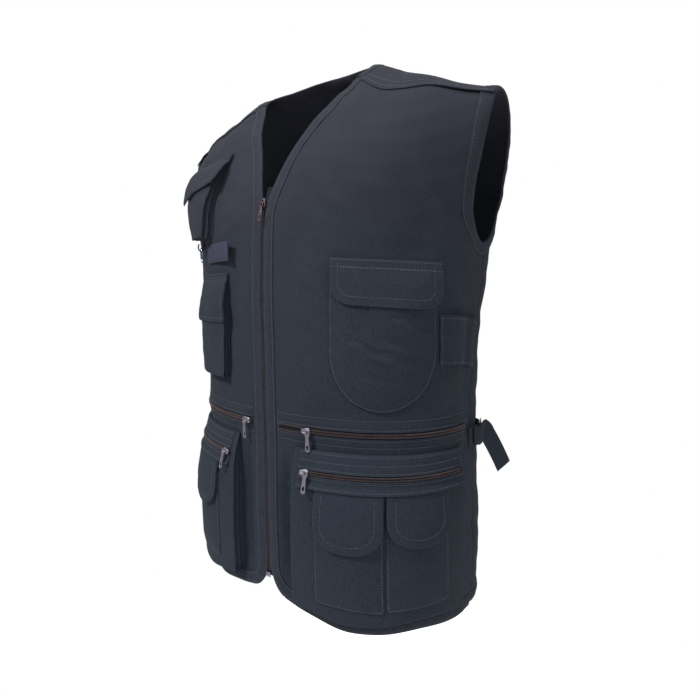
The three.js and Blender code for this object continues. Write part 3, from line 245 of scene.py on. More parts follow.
def crown(gap, spread):
    """Share of the full rise of filled cloth at a distance from its edge."""
    return 1 - np.exp(-((gap / spread) ** 1.5))


def rounded(gap, width):
    """Share of the full height of a folded edge at a distance from it."""
    return np.sqrt(np.clip(1 - (1 - np.minimum(gap / width, 1)) ** 2, 0, 1))


def run_length(points, axis=0):
    """Distance along rows of points from the first of them."""
    steps = np.linalg.norm(np.diff(points, axis=axis), axis=-1)
    return np.insert(np.cumsum(steps, axis=axis), 0, 0.0, axis=axis)


def hermite(a, b, slope_a, slope_b, width, t):
    """Smooth run from one value to the next with given slopes."""
    start = t * (1 - t) ** 2 * width * slope_a
    end = t * t * (t - 1) * width * slope_b
    return mix(a, b, t * t * (3 - 2 * t)) + start + end


def curve(rows, column=1):
    """Curve through table rows that never overshoots them."""
    table = np.array(sorted(tuple(row) for row in rows), float)
    xs, ys = table[:, 0], table[:, column]
    rise = np.diff(ys) / np.diff(xs)
    slope = np.empty_like(ys)
    slope[0], slope[-1] = rise[0], rise[-1]
    product = rise[:-1] * rise[1:]
    total = np.where(product > 0, rise[:-1] + rise[1:], 1)
    slope[1:-1] = np.where(product > 0, 2 * product / total, 0)

    def at(x):
        x = np.clip(np.asarray(x, float), xs[0], xs[-1])
        i = np.clip(np.searchsorted(xs, x, side="right") - 1, 0, len(xs) - 2)
        width = xs[i + 1] - xs[i]
        return hermite(ys[i], ys[i + 1], slope[i], slope[i + 1], width, (x - xs[i]) / width)

    return at


half_at, mid_at, front_at, back_at, power_at = (curve(SECTIONS, k) for k in range(1, 6))
front_ridge_at = curve(FRONT_NECK_LINE + SHOULDER_LINE)
back_ridge_at = curve(BACK_NECK_LINE + SHOULDER_LINE)
neck_edge_at = curve(NECK_EDGE)
arm_front_at = curve(ARM_FRONT)
arm_back_at = curve(ARM_BACK)
hem_at = curve(HEM)
cargo_depth_at = curve(CARGO_DEPTHS)
radio_depth_at = curve(RADIO_DEPTHS)
narrow_depth_at = curve(NARROW_DEPTHS)


def form_point(angle, z):
    """Worn form by angle round the body and height."""
    angle, z = np.broadcast_arrays(np.asarray(angle, float), np.asarray(z, float))
    turn = np.radians(angle)
    side, face = np.sin(turn), np.cos(turn)
    is_front = face > 0
    reach = 2 / power_at(z)
    x = half_at(z) * np.sign(side) * np.abs(side) ** reach
    depth = np.where(is_front, front_at(z), back_at(z))
    outer = smoothstep(np.abs(x), 60, 170)
    rounding = np.where(is_front, mix(190, 140, outer), 120)
    bow = np.where(is_front, mix(1, 0.65, outer), 0.5)
    shell_y = mid_at(z) - np.sign(face) * depth * np.abs(face) ** reach
    ridge = np.where(is_front, front_ridge_at(np.abs(x)), back_ridge_at(np.abs(x)))
    drop = np.clip((ridge - z) / rounding, 0, 1)
    pinch = (1 - (1 - drop) ** 2) ** bow
    return np.stack([x, RIDGE_Y + (shell_y - RIDGE_Y) * pinch, z], -1)


def form_axes(angle, z):
    """Runs round the body and up at places of the form."""
    along = form_point(angle + 0.8, z) - form_point(angle - 0.8, z)
    return along, form_point(angle, z + 2) - form_point(angle, z - 2)


def form_normal(angle, z):
    return unit(np.cross(*form_axes(angle, z)))


def shoulder_param(x, root_drop):
    """Angle and height of a point near the shoulder from x and its root drop."""
    is_front = root_drop < 0
    ridge = np.where(is_front, front_ridge_at(np.abs(x)), back_ridge_at(np.abs(x)))
    z = ridge - root_drop * root_drop
    side = np.minimum(1, np.abs(x) / half_at(z)) ** (power_at(z) / 2)
    turn = np.degrees(np.arcsin(side))
    return np.where(is_front, turn, 180 - turn), z


# Tables of the worn form by height, angle and distance round.
Z_STEP, ANGLE_STEP, GIRTH_STEP = 2.0, 0.5, 1.0
Z_LEVELS = np.arange(-700, 62, Z_STEP)
ANGLES = np.linspace(0, 180, 361)
GIRTHS = np.arange(0, 720, GIRTH_STEP)
LENGTHS = run_length(form_point(ANGLES[None, :], Z_LEVELS[:, None]), 1)
ANGLE_TABLE = np.array([np.interp(GIRTHS, row, ANGLES) for row in LENGTHS])


def table_lookup(table, column_step, column, z):
    """Value of a table at a height and a place across, between its entries."""
    z, column = np.broadcast_arrays(np.asarray(z, float), np.asarray(column, float))
    rows, columns = table.shape
    level = np.clip((z - Z_LEVELS[0]) / Z_STEP, 0, rows - 1.001)
    place = np.clip(column / column_step, 0, columns - 1.001)
    i, j = level.astype(int), place.astype(int)
    f, g = level - i, place - j
    low = mix(table[i, j], table[i, j + 1], g)
    high = mix(table[i + 1, j], table[i + 1, j + 1], g)
    return mix(low, high, f)


def angle_at(girth, z):
    girth = np.asarray(girth, float)
    return np.sign(girth) * table_lookup(ANGLE_TABLE, GIRTH_STEP, np.abs(girth), z)


def girth_at(angle, z):
    return table_lookup(LENGTHS, ANGLE_STEP, angle, z)


def side_girth(z):
    return girth_at(SIDE_ANGLE, z)


def fold_lines(table):
    """Lines of folds in space from their table."""
    made = []
    for girth, z, heading, length, width, rise in table:
        angle = float(angle_at(girth, z))
        along, up = (unit(axis) for axis in form_axes(angle, z))
        turn = math.radians(heading)
        made.append((form_point(angle, z), along * math.cos(turn) + up * math.sin(turn), length, width, rise))
    return made


FOLD_LINES = fold_lines(FOLDS)
HOLLOW_LINES = fold_lines(HOLLOWS)
_draw = np.random.default_rng(7)
RIPPLES = [
    (unit(_draw.normal(size=3)) * 2 * math.pi / wave, _draw.uniform(0, 6.28), high)
    for wave, high in (
        (170, 1.2), (120, 1.1), (90, 0.9), (62, 0.65), (45, 0.45), (31, 0.28), (24, 0.2),
    )
]


def stillness(points):
    """Less movement of the cloth at the zips, the front edge and the lower front."""
    x, y, z = points[..., 0], points[..., 1], points[..., 2]
    at_front = smoothstep(-y, -30, 20)
    centre = mix(1, smoothstep(np.abs(x), 24, 60), at_front)
    lower = mix(1, smoothstep(z, -404, -384), at_front)
    return centre * lower


def folds_at(points, lines):
    """Rise of fold lines at points of the form."""
    total = np.zeros(points.shape[:-1])
    for centre, along, length, width, rise in lines:
        offset = points - centre
        run = offset @ along
        away = np.linalg.norm(offset - run[..., None] * along, axis=-1)
        bend = width * (1 + 0.25 * np.sin(run / 17))
        total += rise * bell(away, bend) * np.exp(-((2 * run / length) ** 4))
    return total


def swell(points):
    """Rise of the soft folds at points of the form."""
    total = folds_at(points, FOLD_LINES)
    bent = points + 17 * np.sin(points[..., (1, 2, 0)] / 46 + np.array([0.4, 2.1, 4.0]))
    bent = bent + 6 * np.sin(points[..., (2, 0, 1)] / 21 + np.array([1.4, 3.3, 5.2]))
    for wave, phase, high in RIPPLES:
        total += high * np.sin(bent @ wave + phase)
    return total * stillness(points) + folds_at(points, HOLLOW_LINES)


def on_body(girth, z, lift=0.0):
    """Points on the worn cloth by distance round, height and lift."""
    angle = angle_at(girth, z)
    points = form_point(angle, z)
    rise = np.asarray(lift, float) + swell(points)
    return points + form_normal(angle, z) * rise[..., None]


def bag_surface(depth_at, top, foot, taper=None):
    """Surface of a standing pocket's face."""

    def surface(girth, z, lift=0.0):
        girth, z = np.broadcast_arrays(np.asarray(girth, float), np.asarray(z, float))
        low = foot(np.abs(girth)) + FOOT_TURN
        depth = depth_at(np.clip((top - z) / (top - low), 0, 1))
        if taper is not None:
            depth = np.maximum(POCKET_WALL, depth * taper(np.abs(girth)))
        return on_body(girth, z, BASE + depth + lift)

    return surface


def spot_on(surface, girth, z, lift=0.0):
    """One point of a surface."""
    return surface(*(np.array([float(value)]) for value in (girth, z, lift)))[0]


def level_foot(pocket):
    """Foot of a standing pocket at one height."""
    return lambda girth: np.full_like(girth, pocket["foot"])


def cargo_foot(girth):
    return hem_at(girth) + 17


def cargo_taper(girth):
    return 1 - 0.6 * smoothstep(girth, 110, 255)


on_cargo = bag_surface(cargo_depth_at, CARGO["top"], cargo_foot, taper=cargo_taper)
on_radio = bag_surface(radio_depth_at, RADIO["top"], level_foot(RADIO))
on_narrow = bag_surface(narrow_depth_at, NARROW["top"], level_foot(NARROW))


def mesh_from(name, points, faces, uv=None, wear=None, sharp=48):
    """Mesh in metres from points in millimetres."""
    mesh = bpy.data.meshes.new(name)
    mesh.from_pydata((np.asarray(points) * MM).tolist(), [], faces)
    mesh.shade_smooth()
    mesh.set_sharp_from_angle(angle=math.radians(sharp))
    corners = np.empty(len(mesh.loops), dtype=np.int32)
    mesh.loops.foreach_get("vertex_index", corners)
    if uv is None:
        uv = np.asarray(points)[:, [0, 2]]
    layer = mesh.uv_layers.new(name="cloth")
    layer.data.foreach_set("uv", (np.asarray(uv)[corners] * MM).astype(np.float32).ravel())
    # Lighter folded edges on each point, partly wear and partly painted highlight.
    worn = mesh.attributes.new("wear", "FLOAT", "POINT")
    values = np.zeros(len(points)) if wear is None else np.asarray(wear)
    worn.data.foreach_set("value", values.astype(np.float32))
    mesh.update()
    return mesh


def walled(outer, inner, faces):
    """Points and faces of a closed wall between two layers of a sheet."""
    count = len(outer)
    edges = {}
    for face in faces:
        for k, a in enumerate(face):
            b = face[(k + 1) % len(face)]
            if (b, a) in edges:
                del edges[b, a]
            else:
                edges[a, b] = True
    rim = [(b, a, a + count, b + count) for a, b in edges]
    back = [tuple(v + count for v in reversed(face)) for face in faces]
    return np.concatenate([outer, inner]), [tuple(f) for f in faces] + back + rim


def grid_faces(rows, columns):
    index = np.arange(rows * columns).reshape(rows, columns)
    cells = np.stack([index[:-1, :-1], index[1:, :-1], index[1:, 1:], index[:-1, 1:]], -1)
    return [tuple(cell) for cell in cells.reshape(-1, 4).tolist()]


def grid_normals(grid):
    down = np.gradient(grid, axis=0)
    across = np.gradient(grid, axis=1)
    return unit(np.cross(down, across))


def facing(points, faces, outward):
    """Faces turned so that the first layer looks along the given directions."""
    votes = 0.0
    for face in faces[:: max(1, len(faces) // 200)]:
        a, b, c = (points[v] for v in face[:3])
        votes += float(np.dot(np.cross(b - a, c - a), outward[face[0]]))
    return faces if votes > 0 else [tuple(reversed(face)) for face in faces]


def cloth_solid(name, outer, inner, faces, uv, wear=None, sharp=48):
    """Closed cloth between an outer and an inner layer of points that share their faces."""
    outer, inner, uv = outer.reshape(-1, 3), inner.reshape(-1, 3), uv.reshape(-1, 2)
    points, walls = walled(outer, inner, facing(outer, faces, unit(outer - inner)))
    worn = None if wear is None else np.concatenate([wear.ravel(), wear.ravel()])
    return mesh_from(name, points, walls, np.concatenate([uv, uv]), worn, sharp)


def keep(mesh, finish, *nodes, body=BODY):
    """Object of a finished mesh that rides on a body and stands for its nodes."""
    piece = bpy.data.objects.new(mesh.name, mesh)
    bpy.context.collection.objects.link(piece)
    mesh.materials.clear()
    mesh.materials.append(finish_of(finish))
    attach(piece, body)
    if nodes:
        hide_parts(*nodes)
    return piece


# Seams gather here as runs of points with their outward directions.
SEAMS = []


def add_seam(points, outward):
    if len(points) > 2:
        SEAMS.append((np.asarray(points), np.asarray(outward)))


def raised_run(surface, girth, z, lift):
    """Points of a surface at a lift, with their outward directions."""
    at = surface(girth, z, lift)
    return at, unit(surface(girth, z, lift + 2) - at)


def seam_points(surface, run, lift):
    """Seam through places of a surface with a lift at each."""
    add_seam(*raised_run(surface, run[:, 0], run[:, 1], lift))


def seam_on(surface, path, lift):
    """Seam along a path of distances round and heights, at one lift."""
    seam_points(surface, spaced(np.asarray(path, float), 3.0), lift)


def spaced(path, step, closed=False):
    """Path with corners kept and even steps between them."""
    run = np.concatenate([path, path[:1]]) if closed else path
    made = []
    for a, b in zip(run[:-1], run[1:]):
        count = max(1, int(round(np.linalg.norm(b - a) / step)))
        made.extend(a + (b - a) * k / count for k in range(count))
    if not closed:
        made.append(run[-1])
    return np.array(made)


def outline_distance(points, outline):
    """Distance to a closed outline and the run along it of the nearest place."""
    start = outline
    span = np.roll(outline, -1, axis=0) - start
    length = np.linalg.norm(span, axis=1)
    run = np.concatenate([[0], np.cumsum(length)[:-1]])
    offset = points[:, None, :] - start[None]
    t = np.clip((offset * span).sum(-1) / np.maximum(length**2, 1e-9), 0, 1)
    gap = np.linalg.norm(offset - t[..., None] * span, axis=-1)
    best = gap.argmin(1)
    rows = np.arange(len(points))
    return gap[rows, best], run[best] + t[rows, best] * length[best]


def inset(outline, distance):
    """Closed outline moved inwards."""
    before, after = np.roll(outline, 1, axis=0), np.roll(outline, -1, axis=0)
    along = unit(after - before)
    inward = np.stack([-along[:, 1], along[:, 0]], -1)
    return outline + inward * distance


def inside(points, outline):
    a, b = outline, np.roll(outline, -1, axis=0)
    x, y = points[:, :1], points[:, 1:]
    crosses = (a[:, 1] > y) != (b[:, 1] > y)
    rise = np.where(np.abs(b[:, 1] - a[:, 1]) < 1e-12, 1e-12, b[:, 1] - a[:, 1])
    meets = x < (b[:, 0] - a[:, 0]) * (y - a[:, 1]) / rise + a[:, 0]
    return (crosses & meets).sum(1) % 2 == 1


EDGE_RINGS = (0.5, 1.1, 1.9, 2.8, 4.2, 6.4)


def cut_edge(outline):
    """Closed outline in even steps, always the same way round."""
    outline = spaced(np.asarray(outline, float), 2.6, closed=True)
    signed = outline * np.roll(outline, -1, axis=0)[:, ::-1]
    return outline[::-1] if (signed[:, 0] - signed[:, 1]).sum() < 0 else outline


def cloth_patch(name, outline, surface, lift, thick=PATCH_CLOTH, step=4.0):
    """Sewn cloth shape from its outline in distance round and height."""
    outline = cut_edge(outline)
    points = [outline]
    for ring in EDGE_RINGS:
        row = inset(outline, ring)
        gap, _ = outline_distance(row, outline)
        points.append(row[(gap > ring * 0.92) & inside(row, outline)])
    low, high = outline.min(0), outline.max(0)
    across = np.arange(low[0] + step / 2, high[0], step)
    up = np.arange(low[1] + step / 2, high[1], step * 0.87)
    mesh_x, mesh_y = np.meshgrid(across, up)
    mesh_x = mesh_x + (np.arange(len(up))[:, None] % 2) * step / 2
    fill = np.stack([mesh_x.ravel(), mesh_y.ravel()], -1)
    gap, _ = outline_distance(fill, outline)
    points.append(fill[(gap > EDGE_RINGS[-1] + step * 0.5) & inside(fill, outline)])
    flat = np.concatenate(points)
    count = len(outline)
    edges = [(k, (k + 1) % count) for k in range(count)]
    result = delaunay_2d_cdt([Vector(p) for p in flat.tolist()], edges, [], 1, 1e-5)
    flat = np.array([tuple(v) for v in result[0]])
    gap, run = outline_distance(flat, outline)
    rise = lift(flat, gap, run)
    outer, inner = (surface(flat[:, 0], flat[:, 1], at) for at in (rise, rise - thick))
    # Edges made lighter, partly wear and partly painted highlight.
    return cloth_solid(name, outer, inner, [tuple(f) for f in result[2]], flat, bell(gap, WEAR_AND_HIGHLIGHT_REACH))


def pucker(run, gap, reach=6.0, high=0.22):
    """Small ripples that a seam draws into the cloth."""
    wave = np.sin(run / 1.75 + 1.7 * np.sin(run / 13.0)) + 0.6 * np.sin(run / 3.1 + 2.0)
    return high * wave * np.exp(-gap / reach)


def sewn_lift(base, bulge, fold):
    """Rise of a sewn-down shape: folded edge, seam dimple and crown."""

    def lift(flat, gap, run):
        dimple = 0.4 * bell(gap - PATCH_STITCH, 1.0)
        return base + fold * rounded(gap, 1.5) - dimple + bulge * crown(gap, 15.0) + pucker(run, gap)

    return lift


def flap_lift(base, hang, top, low, stitch):
    """Rise of a hanging flap: held at its top, free and slightly curled at its lower edge."""

    def lift(flat, gap, run):
        down = np.clip((top - flat[:, 1]) / (top - low), 0, 1)
        dimple = 0.45 * bell(gap - stitch, 1.3)
        shape = base + 0.8 * rounded(gap, 1.6) - dimple + crown(gap, 18.0)
        wave = 0.5 * np.sin(run / 9.0) * down
        return shape + hang * down**0.7 + wave + pucker(run, gap, 5.0, 0.16)

    return lift


def tilted(outline, drop, start, span):
    """Outline whose far end hangs lower."""
    return [(x, z - drop * (x - start) / span) for x, z in outline]


def tilted_lift(lift, drop, start, span):
    """Rise of a level flap carried over to a tilted one."""

    def rise(flat, gap, run):
        level = flat[:, 1] + drop * (np.abs(flat[:, 0]) - start) / span
        return lift(np.stack([flat[:, 0], level], -1), gap, run)

    return rise


def flipped(outline, side):
    """Outline on the wearer's left, or mirrored to the right."""
    outline = np.asarray(outline, float)
    return outline if side > 0 else outline * np.array([-1.0, 1.0])


def ring_faces(count, size, closed=False):
    """Faces through equal closed rings, with ends where the run is open."""
    faces = []
    for i in range(count if closed else count - 1):
        here, after = i * size, ((i + 1) % count) * size
        for k in range(size):
            m = (k + 1) % size
            faces.append((here + k, here + m, after + m, after + k))
    if not closed:
        faces.append(tuple(range(size))[::-1])
        faces.append(tuple((count - 1) * size + k for k in range(size)))
    return faces


def tube_mesh(name, rings, closed=False, uv=None, wear=None, sharp=48):
    """Mesh through equal closed rings."""
    faces = ring_faces(*rings.shape[:2], closed)
    points = rings.reshape(-1, 3)
    volume = 0.0
    for face in faces:
        a = points[face[0]]
        for b, c in zip(face[1:-1], face[2:]):
            volume += float(np.dot(a, np.cross(points[b], points[c])))
    if volume < 0:
        faces = [tuple(reversed(face)) for face in faces]
    return mesh_from(name, points, faces, uv, wear, sharp)


def joined(name, *meshes):
    """One mesh from several, which are removed."""
    points, faces, uvs, worn = [], [], [], []
    for mesh in meshes:
        start, layer = len(points), mesh.uv_layers[0].data
        faces.extend(tuple(v + start for v in p.vertices) for p in mesh.polygons)
        points.extend(tuple(v.co) for v in mesh.vertices)
        places = {loop.vertex_index: tuple(d.uv) for loop, d in zip(mesh.loops, layer)}
        uvs.extend(places.get(k, (0.0, 0.0)) for k in range(len(mesh.vertices)))
        worn.extend(d.value for d in mesh.attributes["wear"].data)
        bpy.data.meshes.remove(mesh)
    return mesh_from(name, np.array(points) / MM, faces, np.array(uvs) / MM, worn)


# Panels as grids of points on the worn form.
def row_spline(values, places, at):
    """Smooth rows between table rows, column by column."""
    slope = np.gradient(values, places, axis=0)
    i = np.clip(np.searchsorted(places, at, side="right") - 1, 0, len(places) - 2)
    width = (places[i + 1] - places[i])[:, None]
    t = (at - places[i])[:, None] / width
    return hermite(values[i], values[i + 1], slope[i], slope[i + 1], width, t)


def shoulder_row(row, share):
    neck_x, neck_drop, arm_x, arm_drop, dip = row
    sag = dip * np.sin(np.pi * np.sqrt(share)) ** 2
    return mix(neck_x, arm_x, share), mix(root(neck_drop), root(arm_drop), share) - sag


def grid_rows(angles, heights):
    """Places of table rows down the cloth, and even rows of the grid between them."""
    places = run_length(form_point(angles, heights)).mean(1)
    return places, np.linspace(0, places[-1], int(places[-1] / GRID_STEP) + 1)


def front_form():
    """Left front from under the yoke to the hem: angles, heights, shares across and marked rows."""
    near = np.array([0, 0.6, 1.5, 2.7, 4.2, 6.0, 8.2])
    part = np.concatenate([near, np.linspace(11, 280, 73)]) / 280
    rows = [shoulder_param(*shoulder_row(row, part)) for row in FRONT_TOP_ROWS]
    for edge, arm in FRONT_ROWS:
        start = float(neck_edge_at(edge))
        end = float(side_girth(arm)) - SEAM_GAP if arm == UNDERARM_Z else float(arm_front_at(arm))
        z = mix(edge, arm, part)
        rows.append((angle_at(mix(start, end, part), z), z))
    angles, heights = (np.array(values) for values in zip(*rows))
    places, at = grid_rows(angles, heights)
    seam_row = int(np.argmin(np.abs(at - places[1])))
    arm_row = int(np.argmin(np.abs(at - (places[3] + places[4]) / 2)))
    hem_girth = mix(FRONT_EDGE, side_girth(np.full_like(part, HEM_LEVEL)), part)
    inner = np.maximum(0, CORNER - (hem_girth - FRONT_EDGE))
    hem_z = hem_at(hem_girth) + CORNER - np.sqrt(CORNER**2 - inner**2)
    down = np.linspace(0, 1, 118)[1:, None]
    lower_z = mix(heights[-1], hem_z, down)
    lower_angle = angle_at(mix(FRONT_EDGE, side_girth(lower_z) - SEAM_GAP, part), lower_z)
    angle = np.concatenate([row_spline(angles, places, at), lower_angle])
    z = np.concatenate([row_spline(heights, places, at), lower_z])
    return angle, z, part, seam_row, len(at) - 1, arm_row


def back_form():
    """Left half of the back from the yoke seam to the hem, columns from armhole to centre."""
    part = np.linspace(0, 1, 89)
    xs, roots = (np.array(v) for v in zip(*(shoulder_row(row, 1 - part) for row in YOKE_ROWS)))
    yoke_angle, yoke_z = shoulder_param(xs, roots)
    places, at = grid_rows(yoke_angle, yoke_z)
    top_angle, top_z = shoulder_param(row_spline(xs, places, at), row_spline(roots, places, at))
    row_of = np.interp(at, places, np.arange(len(YOKE_ROWS)))
    neck_row = len(at) - 1
    rows = [(yoke_angle[-1], yoke_z[-1])]
    for centre, arm in BACK_ROWS:
        z = mix(arm, centre, part)
        start = girth_at(float(arm_back_at(arm)), z)
        if arm == UNDERARM_Z:
            start = side_girth(z) + SEAM_GAP
        rows.append((angle_at(mix(start, girth_at(180, z), part), z), z))
    angles, heights = (np.array(values) for values in zip(*rows))
    places, at = grid_rows(angles, heights)
    at = at[1:]
    below = len(YOKE_ROWS) - 1 + np.interp(at, places, np.arange(len(angles)))
    down = np.linspace(0, 1, 124)[1:, None]
    around = mix(float(side_girth(HEM_LEVEL)), float(girth_at(180, HEM_LEVEL)), part)
    lower_z = mix(mix(UNDERARM_Z, BACK_ROWS[-1][0], part), hem_at(around), down)
    start = side_girth(lower_z) + SEAM_GAP
    lower_angle = angle_at(mix(start, girth_at(180, lower_z), part), lower_z)
    row_of = np.concatenate([row_of, below, np.full(len(down), below[-1])])
    angle = np.concatenate([top_angle, row_spline(angles, places, at), lower_angle])
    z = np.concatenate([top_z, row_spline(heights, places, at), lower_z])
    return angle, z, part, row_of, neck_row, neck_row + len(at)


def sheet_uv(base):
    return np.stack([run_length(base, 1), -run_length(base)], -1)


class Panel:
    """Grid of a cloth panel: middle points, outward directions and cloth coordinates."""

    def __init__(self, base, lift):
        outward = grid_normals(base)
        middle = base.shape[0] // 2, base.shape[1] // 2
        centre = base[middle] - np.array([0.0, 5.0, 0.0])
        if np.dot(outward[middle][:2], centre[:2]) < 0:
            outward = -outward
        self.outward = outward
        self.points = base + outward * (lift + swell(base))[..., None]
        self.uv = sheet_uv(base)


def eased_rows(base, centre, half, passes, weight):
    """Grid evened out along its columns about one row, by a weight for each column."""
    first, last = max(0, centre - half), min(len(base) - 1, centre + half)
    run = base[first:last + 1]
    made = base.copy()
    made[first:last + 1] += (smoothed(run, passes, False) - run) * weight[None, :, None]
    return made


def eased_neck(base, neck_row, passes, reach):
    """Half of the back with the run of its neck edge evened out across the centre."""
    line = base[:neck_row + 1, -1]
    both = np.concatenate([line, line[::-1][1:] * np.array([-1.0, 1.0, 1.0])])
    shift = (smoothed(both, passes, False) - both)[:neck_row + 1]
    columns, rows = base.shape[1], len(base)
    near = bell((columns - 1 - np.arange(columns)) * 3.0, reach)
    below = bell((np.arange(neck_row + 1, rows) - neck_row) * GRID_STEP, reach)
    made = base.copy()
    made[:neck_row + 1] += shift[:, None] * near[None, :, None]
    made[neck_row + 1:] += shift[-1] * (below[:, None] * near[None, :])[..., None]
    return made


def side_turn(from_seam, rows, underarm_row):
    """Tuck of the side seam below the armhole, and its share by rows."""
    below = smoothstep(rows, underarm_row - 2, underarm_row + 3)
    return -1.5 * bell(from_seam, 2.6) * below, below


def front_panel(side):
    angle, z, part, seam_row, underarm_row, arm_row = front_form()
    base = eased_rows(form_point(angle, z), arm_row, 22, 120, smoothstep(part, 0.5, 0.9))
    base = base * np.array([side, 1.0, 1.0])
    rows = np.arange(len(base))[:, None]
    tucked = -1.0 * (1 - smoothstep(rows, seam_row - 1, seam_row + 3))
    from_seam = (1 - part) * 250
    turned, below = side_turn(from_seam, rows, underarm_row)
    rolled = 0.7 * bell(from_seam - 6, 4) * below
    panel = Panel(base, tucked + turned + rolled)
    panel.seam_row, panel.underarm_row = seam_row, underarm_row
    return panel


def back_half(side):
    angle, z, part, row_of, neck_row, underarm_row = back_form()
    base = form_point(angle, z)
    tip, underarm = 2, len(YOKE_ROWS) + len(BACK_ROWS) - 1
    rise = np.sin(np.pi * np.clip((row_of - tip) / (underarm - tip), 0, 1)) ** 0.7
    away = 1 - smoothstep(part, 0, 0.34)
    base = base + (FLARE * rise[:, None] * away)[..., None] * np.array([0.86, 0.5, 0.0])
    base = eased_rows(base, neck_row, 24, 110, 1 - smoothstep(part, 0.7, 0.92))
    base = eased_neck(base, neck_row, 70, 34)
    base = base * np.array([side, 1.0, 1.0])
    rows = np.arange(len(base))[:, None]
    yoke = 0.6 * bell(rows * GRID_STEP, 9.0)
    turned, _ = side_turn(part * 290, rows, underarm_row)
    panel = Panel(base, yoke + turned)
    panel.neck_row, panel.underarm_row = neck_row, underarm_row
    panel.outward[neck_row:, -1, 0] = 0
    panel.outward[neck_row:, -1] = unit(panel.outward[neck_row:, -1])
    lift = panel.points[neck_row:, -1] - base[neck_row:, -1]
    lift[:, 0] = 0
    panel.points[neck_row:, -1] = base[neck_row:, -1] * np.array([0.0, 1.0, 1.0]) + lift
    return panel


def wall_of(name, points, outward, faces, uv):
    """Cloth with its thickness on both sides of its middle surface."""
    return cloth_solid(name, points + outward * CLOTH_HALF, points - outward * CLOTH_HALF, faces, uv)


def panel_wall(name, panel):
    return wall_of(name, panel.points, panel.outward, grid_faces(*panel.points.shape[:2]), panel.uv)


def back_wall(name, left, right):
    """Both halves of the back, sharing the centre line below the neck."""
    rows, columns = left.points.shape[:2]
    count = rows * columns
    index = np.arange(count).reshape(rows, columns)
    shared = np.zeros((rows, columns), bool)
    shared[left.neck_row:, -1] = True
    other = np.where(shared, index, 0)
    other[~shared] = count + np.arange((~shared).sum())
    points = np.concatenate([left.points.reshape(-1, 3), right.points[~shared]])
    outward = np.concatenate([left.outward.reshape(-1, 3), right.outward[~shared]])
    mirror_uv = right.uv * np.array([-1.0, 1.0]) + np.array([0.6, 0.0])
    uv = np.concatenate([left.uv.reshape(-1, 2), mirror_uv[~shared]])
    cells = grid_faces(rows, columns)
    left_faces = facing(points, cells, outward)
    numbers = other.ravel()
    right_faces = facing(points, [tuple(int(numbers[v]) for v in cell) for cell in cells], outward)
    return wall_of(name, points, outward, left_faces + right_faces, uv)


def cloth_tree(*panels):
    """Search tree of the panels' middle surfaces."""
    points, faces = [], []
    for panel in panels:
        start, flat = len(points), panel.points.reshape(-1, 3)
        points.extend(map(tuple, flat))
        cells = facing(flat, grid_faces(*panel.points.shape[:2]), panel.outward.reshape(-1, 3))
        faces.extend(tuple(v + start for v in cell) for cell in cells)
    return BVHTree.FromPolygons(points, faces)


def nearest(tree, points):
    found = [tree.find_nearest(Vector(p)) for p in points]
    return np.array([tuple(f[0]) for f in found]), np.array([tuple(f[1]) for f in found])


def smoothed(rows, passes, closed):
    rows = rows.copy()
    for _ in range(passes):
        if closed:
            rows = (np.roll(rows, 1, 0) + 2 * rows + np.roll(rows, -1, 0)) / 4
        else:
            rows[1:-1] = (rows[:-2] + 2 * rows[1:-1] + rows[2:]) / 4
    return rows


def even_path(points, step, closed=False):
    """Path with even steps along its length."""
    run = np.concatenate([points, points[:1]]) if closed else points
    length = run_length(run)
    count = max(2, int(length[-1] / step))
    at = np.linspace(0, length[-1], count + 1)
    if closed:
        at = at[:-1]
    return np.stack([np.interp(at, length, run[:, k]) for k in range(3)], -1), at


def strip_uv(first, second):
    """Cloth coordinates of rings along a strip."""
    return np.stack(np.broadcast_arrays(first, second), -1).reshape(-1, 2)


